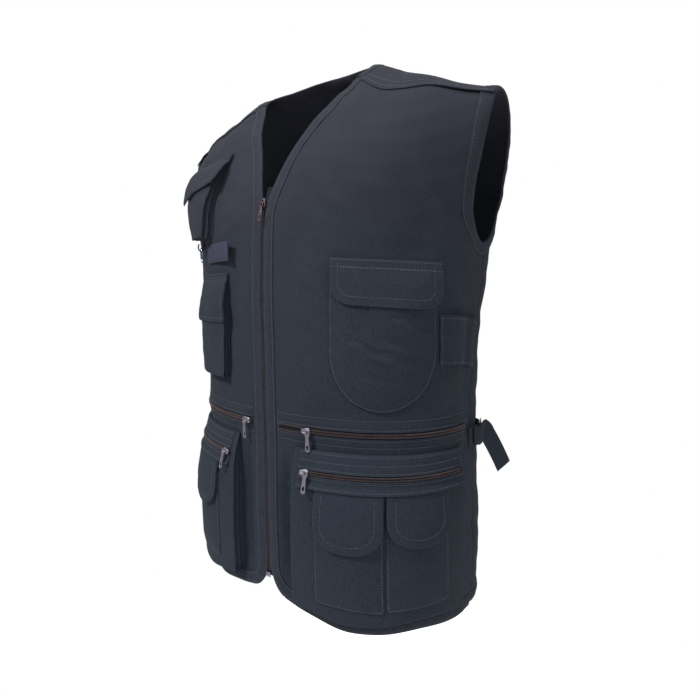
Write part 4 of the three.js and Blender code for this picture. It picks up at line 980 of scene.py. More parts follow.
def binding_mesh(name, edge, tree, width, closed=False, rise=0.0, passes=1, over=0.35):
    """Folded binding round a cloth edge, with its seam near the inner side."""
    edge, at = even_path(np.asarray(edge), 3.0, closed)
    edge = smoothed(edge, passes, closed)
    if closed:
        along = unit(np.roll(edge, -1, 0) - np.roll(edge, 1, 0))
    else:
        along = unit(np.gradient(edge, axis=0))
    _, out = nearest(tree, edge)
    out = unit(smoothed(out, 6, closed))
    inward = unit(np.cross(out, along))
    trial = edge[len(edge) // 2]
    pull = inward[len(edge) // 2]
    ahead, behind = (tree.find_nearest(Vector(trial + pull * s))[3] for s in (6.0, -6.0))
    if ahead > behind:
        inward = -inward
    inward = unit(smoothed(inward, 3, closed))
    h = CLOTH_HALF
    ease = 1 + 0.18 * np.sin(at / 5.2) + 0.14 * np.sin(at / 2.3 + 1.3)
    leaf = (
        (width, h + 0.1), (width, h + 0.55), (width - 0.7, h + 0.95), (width - 2.0, h + 0.6),
        (width - 3.6, h + 0.95), (width * 0.55, h + 1.3), (3.2, h + 1.2), (0.8, h + 0.95),
    )
    depths = sorted({d for d, _ in leaf})
    layers = {}
    for d in depths:
        place, normal = nearest(tree, edge + inward * d)
        layers[d] = (smoothed(place, 2, closed), unit(smoothed(normal, 4, closed)))
    rings = []
    for d, lift in leaf:
        place, normal = layers[d]
        rings.append(place + normal * ((lift + rise - h) * ease + h)[:, None])
    turn = h + 0.75 + rise
    for degrees in (62, 30, 0, -30, -62):
        angle = math.radians(degrees)
        rings.append(edge - inward * (over + turn * math.cos(angle)) + out * (turn * math.sin(angle)))
    for d, lift in leaf[::-1]:
        place, normal = layers[d]
        rings.append(place - normal * (lift * 0.9 + 0.05))
    rings = np.stack(rings, 1)
    uv = strip_uv(np.linspace(0, 2 * width, rings.shape[1])[None, :], at[:, None])
    # Lighter fold over the edge and lighter outer lip, partly wear and partly painted highlight.
    worn = np.zeros(rings.shape[:2])
    worn[:, 7:14] = 0.75
    worn[:, 1:3] = 0.5
    mesh = tube_mesh(name, rings, closed, uv, worn.ravel(), sharp=70)
    place, normal = layers[width - 2.0]
    line = place + normal * ((0.6 + rise) * ease + h + 0.12)[:, None]
    if closed:
        line, normal = np.concatenate([line, line[:1]]), np.concatenate([normal, normal[:1]])
    add_seam(line, normal)
    return mesh


# Materials.
class Nodes:
    """Short way to add, set and link the nodes of a tree."""

    def __init__(self, tree):
        self.tree = tree

    def feed(self, socket, value):
        """Link a node's output to a socket, or set the socket to a plain value."""
        if isinstance(value, bpy.types.NodeSocket):
            self.tree.links.new(value, socket)
        elif value is not None:
            socket.default_value = value

    def add(self, kind, **values):
        """Node with its settings and its inputs by name."""
        node = self.tree.nodes.new(kind)
        for key, value in values.items():
            if hasattr(node, key):
                setattr(node, key, value)
            else:
                self.feed(node.inputs[key.replace("_", " ")], value)
        return node

    def math(self, operation, a, b=None, clamp=False):
        node = self.add("ShaderNodeMath", operation=operation, use_clamp=clamp)
        for socket, value in zip(node.inputs, (a, b)):
            self.feed(socket, value)
        return node.outputs[0]

    def plus(self, a, b):
        return self.math("ADD", a, b)

    def times(self, a, b):
        return self.math("MULTIPLY", a, b)

    def mix(self, factor, a, b):
        node = self.add("ShaderNodeMix", data_type="RGBA")
        for place, value in ((0, factor), (6, a), (7, b)):
            self.feed(node.inputs[place], value)
        return node.outputs[2]

    def noise(self, vector, scale, detail=3.0, roughness=0.55):
        node = self.add(
            "ShaderNodeTexNoise", Vector=vector, Scale=scale, Detail=detail, Roughness=roughness,
        )
        return node.outputs["Fac"]

    def ramp(self, value, low, high):
        """Share of the way of a value from low to high."""
        node = self.add("ShaderNodeMapRange", clamp=True, Value=value, From_Min=low, From_Max=high)
        return node.outputs["Result"]

    def between(self, share, low, high):
        node = self.add("ShaderNodeMapRange", Value=share, To_Min=low, To_Max=high)
        return node.outputs["Result"]

    def over(self, base, value, low, high, amount, color):
        """Colour laid over another where a value rises from low to high."""
        return self.mix(self.times(self.ramp(value, low, high), amount), base, color)

    def bump(self, height, strength, distance, normal=None):
        node = self.add(
            "ShaderNodeBump", Strength=strength, Distance=distance, Height=height, Normal=normal,
        )
        return node.outputs["Normal"]


class Finish(Nodes):
    """Material in the making, with its shader and the place on the piece."""

    def __init__(self, name):
        self.material = bpy.data.materials.new(name)
        self.material.use_nodes = True
        super().__init__(self.material.node_tree)
        self.tree.nodes.clear()
        self.shader = self.add("ShaderNodeBsdfPrincipled")
        self.add("ShaderNodeOutputMaterial", Surface=self.shader.outputs["BSDF"])
        self.place = self.add("ShaderNodeTexCoord").outputs["Object"]

    def made(self, **inputs):
        """Finished material with its shader's inputs by name."""
        for label, value in inputs.items():
            self.feed(self.shader.inputs[label.replace("_", " ")], value)
        return self.material


def shade(color, factor):
    return tuple(min(1.0, c * factor) for c in color[:3]) + (1.0,)


def cloth_material(name, color, top_toned=False, slant=1.0, pitch=0.0009, weave=0.5):
    """Woven cloth: twill ribs, uneven dye, lighter purple top, edges lighter from wear and painted highlight.
    """
    look = Finish(name)
    uv = look.add("ShaderNodeUVMap", uv_map="cloth").outputs["UV"]
    thread_at = look.add("ShaderNodeSeparateXYZ", Vector=uv).outputs
    lean = look.plus(thread_at["X"], look.times(thread_at["Y"], slant))
    lean = look.plus(lean, look.times(look.noise(uv, 900.0, 1.0), 0.0004))
    rib = look.ramp(look.math("SINE", look.times(lean, 2 * math.pi / pitch)), -1.0, 1.0)
    cross = look.math("SINE", look.times(thread_at["Y"], 2 * math.pi / (pitch * 0.55)))
    thread = look.noise(uv, 2600.0, 2.0)
    cloud = look.noise(look.place, 7.0, 4.0, 0.6)
    mottle = look.noise(look.place, 55.0, 4.0, 0.65)
    stretched = look.add("ShaderNodeMapping", Vector=uv, Scale=(6.0, 1.0, 1.0)).outputs["Vector"]
    slub = look.noise(stretched, 90.0, 3.0, 0.7)
    pale = look.noise(uv, 420.0, 3.0, 0.75)
    base = look.mix(look.ramp(cloud, 0.3, 0.7), shade(color, 0.9), shade(color, 1.08))
    base = look.mix(look.ramp(mottle, 0.25, 0.75), base, shade(color, 1.18))
    base = look.over(base, slub, 0.35, 0.7, 0.7, shade(color, 1.6))
    base = look.over(base, pale, 0.4, 0.72, 0.75, shade(color, 0.55))
    # Lighter, more purple tone towards the top of the vest, by height.
    if top_toned:
        top_tone = shade(bpy.context.scene.vest_tones.top_tone, 1.0)
        high = look.add("ShaderNodeSeparateXYZ", Vector=look.place).outputs["Z"]
        base = look.over(base, high, -0.34, -0.02, 0.75, top_tone)
    base = look.mix(look.times(rib, 0.26), base, shade(color, 0.55))
    base = look.over(base, thread, 0.62, 0.8, 0.3, shade(color, 1.8))
    # Folded edges made lighter: partly wear, partly painted highlight where the folds catch the light.
    worn = look.add("ShaderNodeAttribute", attribute_name="wear").outputs["Fac"]
    edge_patchiness = look.ramp(look.noise(look.place, 160.0, 4.0, 0.7), 0.3, 0.75)
    edge_lightening = look.math("MULTIPLY", worn, edge_patchiness, clamp=True)
    base = look.mix(look.times(edge_lightening, 0.6), base, shade(color, 1.75))
    height = look.plus(look.times(rib, 0.6), look.times(cross, 0.2))
    height = look.plus(height, look.times(thread, 0.7))
    fine = look.bump(height, weave, 0.00025)
    return look.made(
        Base_Color=base, Roughness=look.between(mottle, 0.82, 0.96),
        Normal=look.bump(mottle, 0.35, 0.0012, fine), Specular_IOR_Level=0.15,
        Sheen_Weight=0.03, Sheen_Roughness=0.5,
    )


def metal_material(name, color, roughness, scratch=0.12):
    """Plated metal with fine scratches and dulled patches."""
    look = Finish(name)
    patch = look.noise(look.place, 420.0, 4.0, 0.6)
    fine = look.noise(look.place, 2600.0, 2.0)
    return look.made(
        Base_Color=look.mix(look.ramp(patch, 0.35, 0.75), shade(color, 1.0), shade(color, 0.72)),
        Roughness=look.between(patch, roughness, min(1.0, roughness + 0.22)),
        Normal=look.bump(fine, scratch, 0.0001), Metallic=1.0,
    )


def moulded_material(name, color, roughness):
    """Moulded plastic with a fine grain."""
    look = Finish(name)
    grain = look.noise(look.place, 1800.0, 3.0)
    cloud = look.noise(look.place, 90.0, 3.0)
    return look.made(
        Base_Color=look.mix(look.ramp(cloud, 0.3, 0.7), shade(color, 0.85), shade(color, 1.2)),
        Roughness=look.between(grain, max(0.0, roughness - 0.08), min(1.0, roughness + 0.12)),
        Normal=look.bump(grain, 0.2, 0.0002),
    )


def thread_material(name, color):
    """Sewing thread with a twist."""
    look = Finish(name)
    lint = look.noise(look.place, 240.0, 3.0, 0.6)
    twist = look.noise(look.place, 3400.0, 1.0)
    return look.made(
        Base_Color=look.mix(look.ramp(lint, 0.3, 0.7), shade(color, 0.7), shade(color, 1.25)),
        Normal=look.bump(twist, 0.3, 0.0001), Roughness=0.8, Sheen_Weight=0.2,
    )


def paper_material(name, color):
    """Studio paper that shines a little of its own."""
    look = Finish(name)
    cloud = look.noise(look.place, 1.2, 2.0)
    return look.made(
        Base_Color=look.mix(look.ramp(cloud, 0.3, 0.7), shade(color, 0.99), shade(color, 1.01)),
        Roughness=0.9, Specular_IOR_Level=0.1,
        Emission_Color=(1.0, 1.0, 1.0, 1.0), Emission_Strength=0.65,
    )


# Finishes by the name of their colour: slot, maker, name of the material, values of the maker.
FINISHES = {
    "twill": ("twill", cloth_material, "navy_twill", {"top_toned": True}),
    "binding": (
        "binding", cloth_material, "bias_binding", {"top_toned": True, "slant": 0.15, "pitch": 0.0008},
    ),
    "tape": ("zip_tape", cloth_material, "zip_tape", {"slant": 0.0, "pitch": 0.0007}),
    "webbing": (
        "webbing", cloth_material, "ribbed_webbing", {"slant": 0.0, "pitch": 0.0016, "weave": 0.9},
    ),
    "coil": ("zip_coil", moulded_material, "nylon_coil", {"roughness": 0.55}),
    "buckle": ("buckle_plastic", moulded_material, "buckle_nylon", {"roughness": 0.45}),
    "dull_metal": ("pull_metal", metal_material, "dark_plate", {"roughness": 0.42}),
    "metal": ("pull_metal", metal_material, "silver_plate", {"roughness": 0.28}),
    "chrome": ("ring_chrome", metal_material, "ring_chrome", {"roughness": 0.1, "scratch": 0.04}),
    "thread": ("twill", thread_material, "topstitch_thread", {}),
}
MADE_FINISHES = {}


def finish_of(key):
    """Material of one of the vest's finishes, made on first use."""
    if key not in MADE_FINISHES:
        _, maker, name, values = FINISHES[key]
        MADE_FINISHES[key] = maker(name, getattr(bpy.context.scene.vest_tones, key), **values)
    return MADE_FINISHES[key]


# Geometry Nodes for stitches and zip teeth.
def along_tree(name):
    """Node group that lays one rounded shape along runs of edges."""
    group = bpy.data.node_groups.new(name, "GeometryNodeTree")
    sizes = ("Pitch", "Length", "Width", "Height")
    inputs = (("Geometry", "Geometry"), *((label, "Float") for label in sizes), ("Material", "Material"))
    for label, kind in inputs:
        group.interface.new_socket(label, in_out="INPUT", socket_type="NodeSocket" + kind)
    group.interface.new_socket("Geometry", in_out="OUTPUT", socket_type="NodeSocketGeometry")
    nodes = Nodes(group)
    given = nodes.add("NodeGroupInput").outputs
    runs = nodes.add("GeometryNodeMeshToCurve", Mesh=given["Geometry"])
    places = nodes.add(
        "GeometryNodeResampleCurve", mode="LENGTH", Curve=runs.outputs["Curve"], Length=given["Pitch"],
    )
    ball = nodes.add("GeometryNodeMeshUVSphere", Segments=6, Rings=4, Radius=0.5)
    size = nodes.add("ShaderNodeCombineXYZ", X=given["Length"], Y=given["Width"], Z=given["Height"])
    shape = nodes.add(
        "GeometryNodeTransform", Geometry=ball.outputs["Mesh"], Scale=size.outputs["Vector"],
    )
    outward = nodes.add("GeometryNodeInputNamedAttribute", data_type="FLOAT_VECTOR", Name="outward")
    tangent = nodes.add("GeometryNodeInputTangent")
    turn = nodes.add(
        "FunctionNodeAxesToRotation", primary_axis="Z", secondary_axis="X",
        Primary_Axis=outward.outputs["Attribute"], Secondary_Axis=tangent.outputs["Tangent"],
    )
    laid = nodes.add(
        "GeometryNodeInstanceOnPoints", Points=places.outputs["Curve"],
        Instance=shape.outputs["Geometry"], Rotation=turn.outputs["Rotation"],
    )
    real = nodes.add("GeometryNodeRealizeInstances", Geometry=laid.outputs["Instances"])
    smooth = nodes.add("GeometryNodeSetShadeSmooth", Geometry=real.outputs["Geometry"])
    painted = nodes.add(
        "GeometryNodeSetMaterial", Geometry=smooth.outputs["Geometry"], Material=given["Material"],
    )
    nodes.add("NodeGroupOutput", Geometry=painted.outputs["Geometry"])
    return group


def plain_mesh(carrier):
    """Mesh that an object's curve or nodes make; the object is removed."""
    bpy.context.collection.objects.link(carrier)
    bpy.context.view_layer.update()
    graph = bpy.context.evaluated_depsgraph_get()
    mesh = bpy.data.meshes.new_from_object(carrier.evaluated_get(graph))
    carrier.modifiers.clear()
    bpy.data.objects.remove(carrier)
    return mesh


def laid_along(name, kind, runs, finish, **sizes):
    """Plain mesh of the shapes that a node group lays along runs of points."""
    points, edges, outward = [], [], []
    for line, out in runs:
        start = len(points)
        points.extend((np.asarray(line) * MM).tolist())
        outward.extend(np.asarray(out).tolist())
        edges.extend((start + k, start + k + 1) for k in range(len(line) - 1))
    mesh = bpy.data.meshes.new(name + "_runs")
    mesh.from_pydata(points, edges, [])
    attribute = mesh.attributes.new("outward", "FLOAT_VECTOR", "POINT")
    attribute.data.foreach_set("vector", np.array(outward, np.float32).ravel())
    carrier = bpy.data.objects.new(name + "_runs", mesh)
    group = bpy.data.node_groups.get(kind) or along_tree(kind)
    modifier = carrier.modifiers.new("along", "NODES")
    modifier.node_group = group
    sockets = {
        item.name: item.identifier for item in group.interface.items_tree
        if item.item_type == "SOCKET" and item.in_out == "INPUT"
    }
    for label, value in {**sizes, "Material": finish_of(finish)}.items():
        modifier[sockets[label]] = value
    made = plain_mesh(carrier)
    made.name = name
    bpy.data.meshes.remove(mesh)
    for stray in [a.name for a in made.attributes if a.name == "outward"]:
        made.attributes.remove(made.attributes[stray])
    return made


# Metal parts from flat shapes.
def arc_points(cx, cy, radius, start, end, count, radius_y=None):
    turns = np.linspace(start, end, count)
    high = radius if radius_y is None else radius_y
    return [(cx + radius * math.cos(t), cy + high * math.sin(t)) for t in turns]


def plate_mesh(name, outline, holes, thick, bevel, matrix):
    """Plate with rounded edges from a flat outline and holes, laid at a seat."""
    shape = bpy.data.curves.new(name, "CURVE")
    shape.dimensions = "2D"
    shape.fill_mode = "BOTH"
    shape.extrude = (thick / 2 - bevel) * MM
    shape.bevel_depth = bevel * MM
    shape.bevel_resolution = 2
    shape.offset = -bevel * MM
    for ring in [outline, *holes]:
        spline = shape.splines.new("POLY")
        spline.points.add(len(ring) - 1)
        for point, (x, y) in zip(spline.points, ring):
            point.co = (x * MM, y * MM, 0, 1)
        spline.use_cyclic_u = True
    mesh = plain_mesh(bpy.data.objects.new(name, shape))
    bpy.data.curves.remove(shape)
    points = np.array([tuple(v.co) for v in mesh.vertices]) / MM
    points[:, 2] += thick / 2
    faces = [tuple(p.vertices) for p in mesh.polygons]
    bpy.data.meshes.remove(mesh)
    return seated(name, points, faces, matrix)


def seated(name, points, faces, matrix):
    """Mesh of local points laid at a seat, welded and facing outward."""
    points = points @ matrix[:3, :3].T + matrix[:3, 3]
    raw = bmesh.new()
    verts = [raw.verts.new(p) for p in (points * MM).tolist()]
    for face in faces:
        try:
            raw.faces.new([verts[v] for v in face])
        except ValueError:
            continue
    bmesh.ops.remove_doubles(raw, verts=raw.verts, dist=1e-6)
    bmesh.ops.recalc_face_normals(raw, faces=raw.faces)
    raw.verts.index_update()
    welded = np.array([tuple(v.co) for v in raw.verts]) / MM
    rings = [tuple(v.index for v in f.verts) for f in raw.faces]
    raw.free()
    return mesh_from(name, welded, rings, sharp=40)


def seat_on(surface, girth, z, lift, reach, side=1):
    """Seat matrix on a surface: x round the body, y up, z outward; mirrored on the right."""
    before, after = (spot_on(surface, girth + step, z, lift) for step in (-3, 3))
    low, high = (spot_on(surface, girth, z + step, lift) for step in (-reach, reach))
    along = unit(after - before)
    out = unit(np.cross(along, unit(high - low)))
    matrix = np.eye(4)
    matrix[:3] = np.stack([along, np.cross(out, along), out, spot_on(surface, girth, z, lift)], -1)
    return np.diag([side, 1.0, 1.0, 1.0]) @ matrix


def moved(matrix, x, y, z):
    shift = np.eye(4)
    shift[:3, 3] = (x, y, z)
    return matrix @ shift


def swept(middle, side, face, section):
    """Rings of a flat section carried along a path."""
    return np.stack([middle + side * w + face * t for w, t in section], 1)


def bar_section(wide, flat_wide, thick, edge_thick):
    """Section of a flat bar with cut corners, by half widths and half thicknesses."""
    upper = [(wide, edge_thick), (flat_wide, thick), (-flat_wide, thick), (-wide, edge_thick)]
    return upper + [(w, -t) for w, t in upper[::-1]]


def cut_corners(wide, high, cut):
    """Rectangle with cut corners, by half width and half height."""
    return [
        (-wide, -high + cut), (-wide + cut, -high), (wide - cut, -high), (wide, -high + cut),
        (wide, high - cut), (wide - cut, high), (-wide + cut, high), (-wide, high - cut),
    ]


SLIDER_OUTLINE = [
    (-6, -2.2), (-5.6, -2.6), (0.8, -4.3), (4.6, -4.3), (5.6, -3.9), (6, -3.0),
    (6, 3.0), (5.6, 3.9), (4.6, 4.3), (0.8, 4.3), (-5.6, 2.6), (-6, 2.2),
]


def slider_mesh(name, matrix):
    """Zip slider: shield plate with side lips and an arched bridge."""
    plate = plate_mesh(name + "_plate", SLIDER_OUTLINE, [], SLIDER_PLATE, 0.5, matrix)
    arch = arc_points(0, BRIDGE_LEG, 3.0, math.pi, 0, 13)
    steps = np.concatenate([[(-3.0, -0.4)], arch, [(3.0, -0.4)]])
    middle = np.stack([steps[:, 0], np.zeros(len(steps)), steps[:, 1] + SLIDER_PLATE], -1)
    side = np.array([0.0, 1.0, 0.0])
    lift = np.cross(unit(np.gradient(middle, axis=0)), side)
    rings = swept(middle, side, lift, bar_section(0.8, 0.55, 0.5, 0.25))
    bridge = seated(name + "_bridge", rings.reshape(-1, 3), ring_faces(*rings.shape[:2]), matrix)
    return joined(name, plate, bridge)


def pull_outline(length, head_half, head_top):
    end = 3.2
    left = [
        (-head_half, head_top - 0.6), (-head_half, -4.2), (-2.1, -6.4), (-2.2, -8), (-end, -length + end),
    ]
    bottom = arc_points(0, -length + end, end, math.pi, 2 * math.pi, 13)[1:-1]
    right = [(-x, y) for x, y in left[::-1]]
    return left + bottom + right + [(head_half - 0.6, head_top), (-head_half + 0.6, head_top)]


def round_hole(y, radius, radius_y=None):
    return arc_points(0, y, radius, 0, 2 * math.pi * 15 / 16, 16, radius_y)


def end_hole(length):
    return round_hole(-length + 5.4, 1.6, 3.0)


def hanging_pull_mesh(name, matrix, length):
    holes = [round_hole(0, 1.8), end_hole(length)]
    return plate_mesh(name, pull_outline(length, 3.0, 2.6), holes, PULL_THICK, 0.32, matrix)


def flipping_pull_mesh(name, matrix, length):
    gate = [(-1.4, -4.2), (-1.4, -1.7), (1.4, -1.7), (1.4, -4.2)]
    holes = [gate, end_hole(length)]
    return plate_mesh(name, pull_outline(length, 2.8, 0.8), holes, PULL_THICK, 0.3, matrix)


def band_cut(girths, heights):
    (first, last), (low, high) = girths, heights
    return [(first, high), (last, high), (last, low), (first, low)]


def band_mesh(name, girths, heights, surface, lift, thick=PATCH_CLOTH):
    """Cloth band on a surface between heights, with rounded long edges."""
    return cloth_patch(name, band_cut(girths, heights), surface, lift, thick, step=4.5)


def teeth_runs(surface, girth, z, lift, half):
    """Two runs of teeth beside a zip's middle line."""
    low, out = raised_run(surface, girth, z, lift)
    across = np.cross(out, unit(np.gradient(low, axis=0)))
    return [(low + across * (side * half), out) for side in (-1, 1)]


def keep_teeth(label, runs):
    """Teeth of a zip along their runs."""
    pitch = bpy.context.scene.vest_sizes.tooth_pitch
    teeth = laid_along(f"{label}_teeth", "zip_teeth", runs, "coil", Pitch=pitch, **TOOTH)
    keep(teeth, "coil", f"{label}_zip_chain")


def slider_and_pull(label, seat, length):
    """Slider with a pull that hangs round the bridge leg nearer the zip's end."""
    keep(slider_mesh(f"{label}_slider", seat), "metal", f"{label}_zip_slider")
    pull = hanging_pull_mesh(f"{label}_pull", moved(seat, 3, 0, SLIDER_PLATE + PULL_SINK), length)
    keep(pull, "metal", f"{label}_zip_pull", body=f"{label}_zip_pull")


def slot_heights(opening):
    """Heights of the cloth above and below a zip's slot, and of its edges at the slot."""
    above = opening["z"] + opening["slot"] - SLOT_LAP
    below = opening["z"] - opening["slot"] + SLOT_LAP
    return ((above, opening["top"]), (opening["bottom"], below)), (above, below)


def slot_cloth(label, kind, ends, bands, lifts, tape, surface, thick=PATCH_CLOTH):
    """Cloth above and below a zip's slot, with the tape behind it."""
    strips = [band_mesh("strip", ends, band, surface, lift, thick) for band, lift in zip(bands, lifts)]
    piece = keep(joined(f"{label}_{kind[0]}", *strips), "twill", f"{label}_{kind[1]}")
    # The dark tape under the slot is partly painted shade of the opening.
    tape_ends, tape_heights, tape_lift = tape
    keep(band_mesh(
        f"{label}_tape", sorted(tape_ends), tape_heights, surface,
        lambda flat, gap, run: tape_lift,
    ), "tape")


def length(label, words, value):
    return bpy.props.FloatProperty(name=label, description=words, default=value, unit="LENGTH")


class VestSizes(bpy.types.PropertyGroup):
    """Sizes of the vest's trim."""

    front_band: length("Front Band", "Width of the binding along the front edges", 0.0135)
    arm_band: length("Armhole Band", "Width of the binding round the armholes", 0.014)
    hem_band: length("Hem Band", "Width of the binding along the back hem", 0.0125)
    stitch_pitch: length("Stitch Pitch", "Distance from one stitch to the next", 0.0036)
    stitch_length: length("Stitch Length", "Length of one stitch", 0.0030)
    stitch_width: length("Stitch Width", "Thickness of the sewing thread", 0.00065)
    tooth_pitch: length("Tooth Pitch", "Distance from one zip tooth to the next", 0.0016)
    floor_drop: length("Floor Drop", "Distance of the floor below the hem", 0.85)


def tone(label, words, value):
    return bpy.props.FloatVectorProperty(
        name=label, description=words, default=value, size=3, subtype="COLOR", min=0.0, max=1.0,
    )


class VestTones(bpy.types.PropertyGroup):
    """Colours of the vest's finishes."""

    twill: tone("Twill", "Colour of the main cloth", (0.0300, 0.0385, 0.0540))
    # Lighter, more purple tone that the twill takes towards the top of the vest.
    top_tone: tone("Faded Twill", "Colour of the cloth where light has faded it", (0.0440, 0.0430, 0.0600))
    binding: tone("Binding", "Colour of the edge binding", (0.0330, 0.0380, 0.0540))
    # Darker than the cloth: the tapes are real, but their dark colour is partly painted shade in the zip
    # slots.
    tape: tone("Zip Tape", "Colour of the zip tapes", (0.0180, 0.0210, 0.0310))
    coil: tone("Zip Coil", "Colour of the zip teeth", (0.0850, 0.0560, 0.0580))
    metal: tone("Plated Metal", "Colour of the pocket sliders and pulls", (0.5200, 0.4800, 0.5800))
    dull_metal: tone("Dark Plate", "Colour of the front slider and pull", (0.1300, 0.0950, 0.1150))
    webbing: tone("Webbing", "Colour of the webbing tab", (0.0520, 0.0560, 0.0960))
    buckle: tone("Buckle", "Colour of the side buckles", (0.0050, 0.0050, 0.0060))
    chrome: tone("Ring", "Colour of the ring", (0.4200, 0.5000, 0.7800))
    thread: tone("Thread", "Colour of the topstitching", (0.1150, 0.1150, 0.1500))
    floor: tone("Floor", "Colour of the studio floor", (0.9000, 0.9000, 0.9000))


PANELS = {}


def panels():
    """Panel grids of the vest, made once."""
    if not PANELS:
        for side, label in SIDES:
            PANELS[label], PANELS[f"back_{label}"] = front_panel(side), back_half(side)
        PANELS["tree"] = cloth_tree(*(PANELS[k] for k in ("left", "right", "back_left", "back_right")))
    return PANELS


class VEST_OT_panels(bpy.types.Operator):
    """Make the back and the two fronts."""

    bl_idname = "vest.panels"
    bl_label = "Panels"

    def execute(self, context):
        made = panels()
        halves = made["back_left"], made["back_right"]
        keep(back_wall("back_cloth", *halves), "twill", "back_panel")
        for _, label in SIDES:
            keep(panel_wall(f"{label}_front_cloth", made[label]), "twill", f"{label}_front_panel")
        for panel in halves:
            for row in (1, 3):
                out = panel.outward[row, 4:-5]
                add_seam(panel.points[row, 4:-5] + out * (CLOTH_HALF + 0.1), out)
        return {"FINISHED"}


class VEST_OT_bindings(bpy.types.Operator):
    """Make the bindings of the front edges, armholes, neck and hem."""

    bl_idname = "vest.bindings"
    bl_label = "Bindings"

    def execute(self, context):
        made, sizes = panels(), context.scene.vest_sizes

        def bind(label, runs, width, **form):
            edge = np.concatenate(runs)
            mesh = binding_mesh(f"{label}_trim", edge, made["tree"], width / MM, **form)
            keep(mesh, "binding", f"{label}_binding")

        for _, label in SIDES:
            front, back = made[label], made[f"back_{label}"]
            down, along = front.points[front.seam_row:, 0], front.points[-1, 1:]
            bind(f"{label}_front", [down, along], sizes.front_band, rise=0.15, over=1.2)
            fore = front.points[front.seam_row:front.underarm_row, -1]
            aft = back.points[1:back.underarm_row, 0][::-1]
            bind(f"{label}_armhole", [fore, aft], sizes.arm_band, closed=True, passes=14)
        left, right = made["back_left"].points, made["back_right"].points
        neck = made["back_left"].neck_row
        bind("back_neck", [left[:neck + 1, -1], right[:neck, -1][::-1]], sizes.arm_band)
        bind("back_hem", [left[-1], right[-1, :-1][::-1]], sizes.hem_band)
        return {"FINISHED"}


class VEST_OT_front_zip(bpy.types.Operator):
    """Make the front zip with its tape, teeth, slider, pull and stop."""

    bl_idname = "vest.front_zip"
    bl_label = "Front Zip"

    def execute(self, context):
        # Dark tape under the front zip, partly painted shade in the gap between the bindings.
        z = np.linspace(TAPE_TOP, ZIP_BOTTOM - 3, 150)
        section = (
            (-13, 0.0), (-13, 0.35), (-6, 0.4), (6, 0.4), (13, 0.35), (13, 0.0), (13, -0.35), (-13, -0.35),
        )
        share = mix(1.0, 0.3, smoothstep(z, -163, -146))
        rings = np.stack([on_body(s * share, z, -3.55 + t) for s, t in section], 1)
        tape = keep(tube_mesh("front_tape", rings), "tape", "front_zip_tape")
        z = np.linspace(ZIP_TOP - 8, ZIP_BOTTOM + 6, 160)
        keep_teeth("front", teeth_runs(on_body, 0, z, -0.6, 1.35))
        seat = seat_on(on_body, 0, ZIP_TOP - 12, FRONT_SLIDE_LIFT, 6)
        down = np.eye(4)
        down[:2, :2] = ((0, 1), (-1, 0))
        keep(slider_mesh("front_slider", seat @ down), "dull_metal", "front_zip_slider")
        rise = SLIDER_PLATE + BRIDGE_LEG - PULL_THICK / 2
        pull = flipping_pull_mesh("front_pull", moved(seat, 0, 0, rise), 24)
        keep(pull, "dull_metal", "front_zip_pull", body="front_zip_pull")
        stop = moved(seat_on(on_body, 0, ZIP_BOTTOM + 1.5, 3.5, 6), 0, 0, -0.8)
        box = plate_mesh("front_stop", cut_corners(3.5, 3, 0.6), [], 1.6, 0.4, stop)
        keep(box, "metal", "front_zip_stop")
        return {"FINISHED"}


def slot_edge_lift(base, at_slot, stitch, sunk=None):
    """Rise of a zip's cloth edge: folded at the slot, run out into the cloth at sunk ends and edge."""

    def lift(flat, gap, run):
        away = np.abs(flat[:, 1] - at_slot)
        fold = 0.9 * bell(away, 2.2)
        dimple = sum(0.3 * bell(away - s, 0.9) for s in stitch)
        wave = 0.25 * np.sin(run / 6.0) * np.exp(-away / 6)
        rise = base + fold + 0.9 * rounded(gap, 1.2) - dimple + wave
        if sunk is None:
            return rise
        first, last, border = sunk
        off = np.minimum(flat[:, 0] - first, last - flat[:, 0])
        off = np.minimum(off, np.abs(flat[:, 1] - border))
        return mix(CLOTH_HALF - 0.35, rise, smoothstep(off, 0, 7))

    return lift


class VEST_OT_waist_zips(bpy.types.Operator):
    """Make the zips across the waist on both fronts."""

    bl_idname = "vest.waist_zips"
    bl_label = "Waist Zips"

    def execute(self, context):
        middle, slot, start, end = (WAIST[key] for key in ("z", "slot", "from", "to"))
        top, bottom, teeth_lift = WAIST["top"], WAIST["bottom"], WAIST_BASE + 1.0
        bands, edges = slot_heights(WAIST)
        for side, label in SIDES:
            ends = sorted((side * start, side * end))
            lifts = [
                slot_edge_lift(WAIST_BASE - 0.9, edge, (2.6,), (*ends, border))
                for edge, border in zip(edges, (top, bottom))
            ]
            tape = (side * (start + 3), side * (end - 3)), (middle - 8.5, middle + 8.5), BASE - 0.1
            slot_cloth(
                f"{label}_waist", ("welt", "zip_frame"), ends, bands, lifts, tape, on_body,
                WELT_CLOTH,
            )
            for height in (middle + slot + 1.2, top - 1.0, middle - slot - 1.2, bottom + 1.4):
                lift = WAIST_BASE + (0.55 if abs(height - middle) < 9 else -0.7)
                seam_on(on_body, [(ends[0] + 2, height), (ends[1] - 2, height)], lift)
            path = np.linspace(WAIST_OPEN if side > 0 else start + 4, end - 4, 90)
            runs = teeth_runs(on_body, path * side, middle, teeth_lift, TEETH_APART)
            if side > 0:
                path = np.linspace(start + 3, WAIST_OPEN, 30)
                spread = TEETH_APART + 2.0 * smoothstep(WAIST_OPEN - path, 0, 16)
                for up in (1, -1):
                    runs.append(raised_run(on_body, path, middle + up * spread, teeth_lift))
            keep_teeth(f"{label}_waist", runs)
            at = WAIST_OPEN if side > 0 else start + 9.5
            seat = seat_on(on_body, at, middle, WAIST_BASE + 2.5, 6, side)
            slider_and_pull(f"{label}_waist", seat, 24)
        return {"FINISHED"}


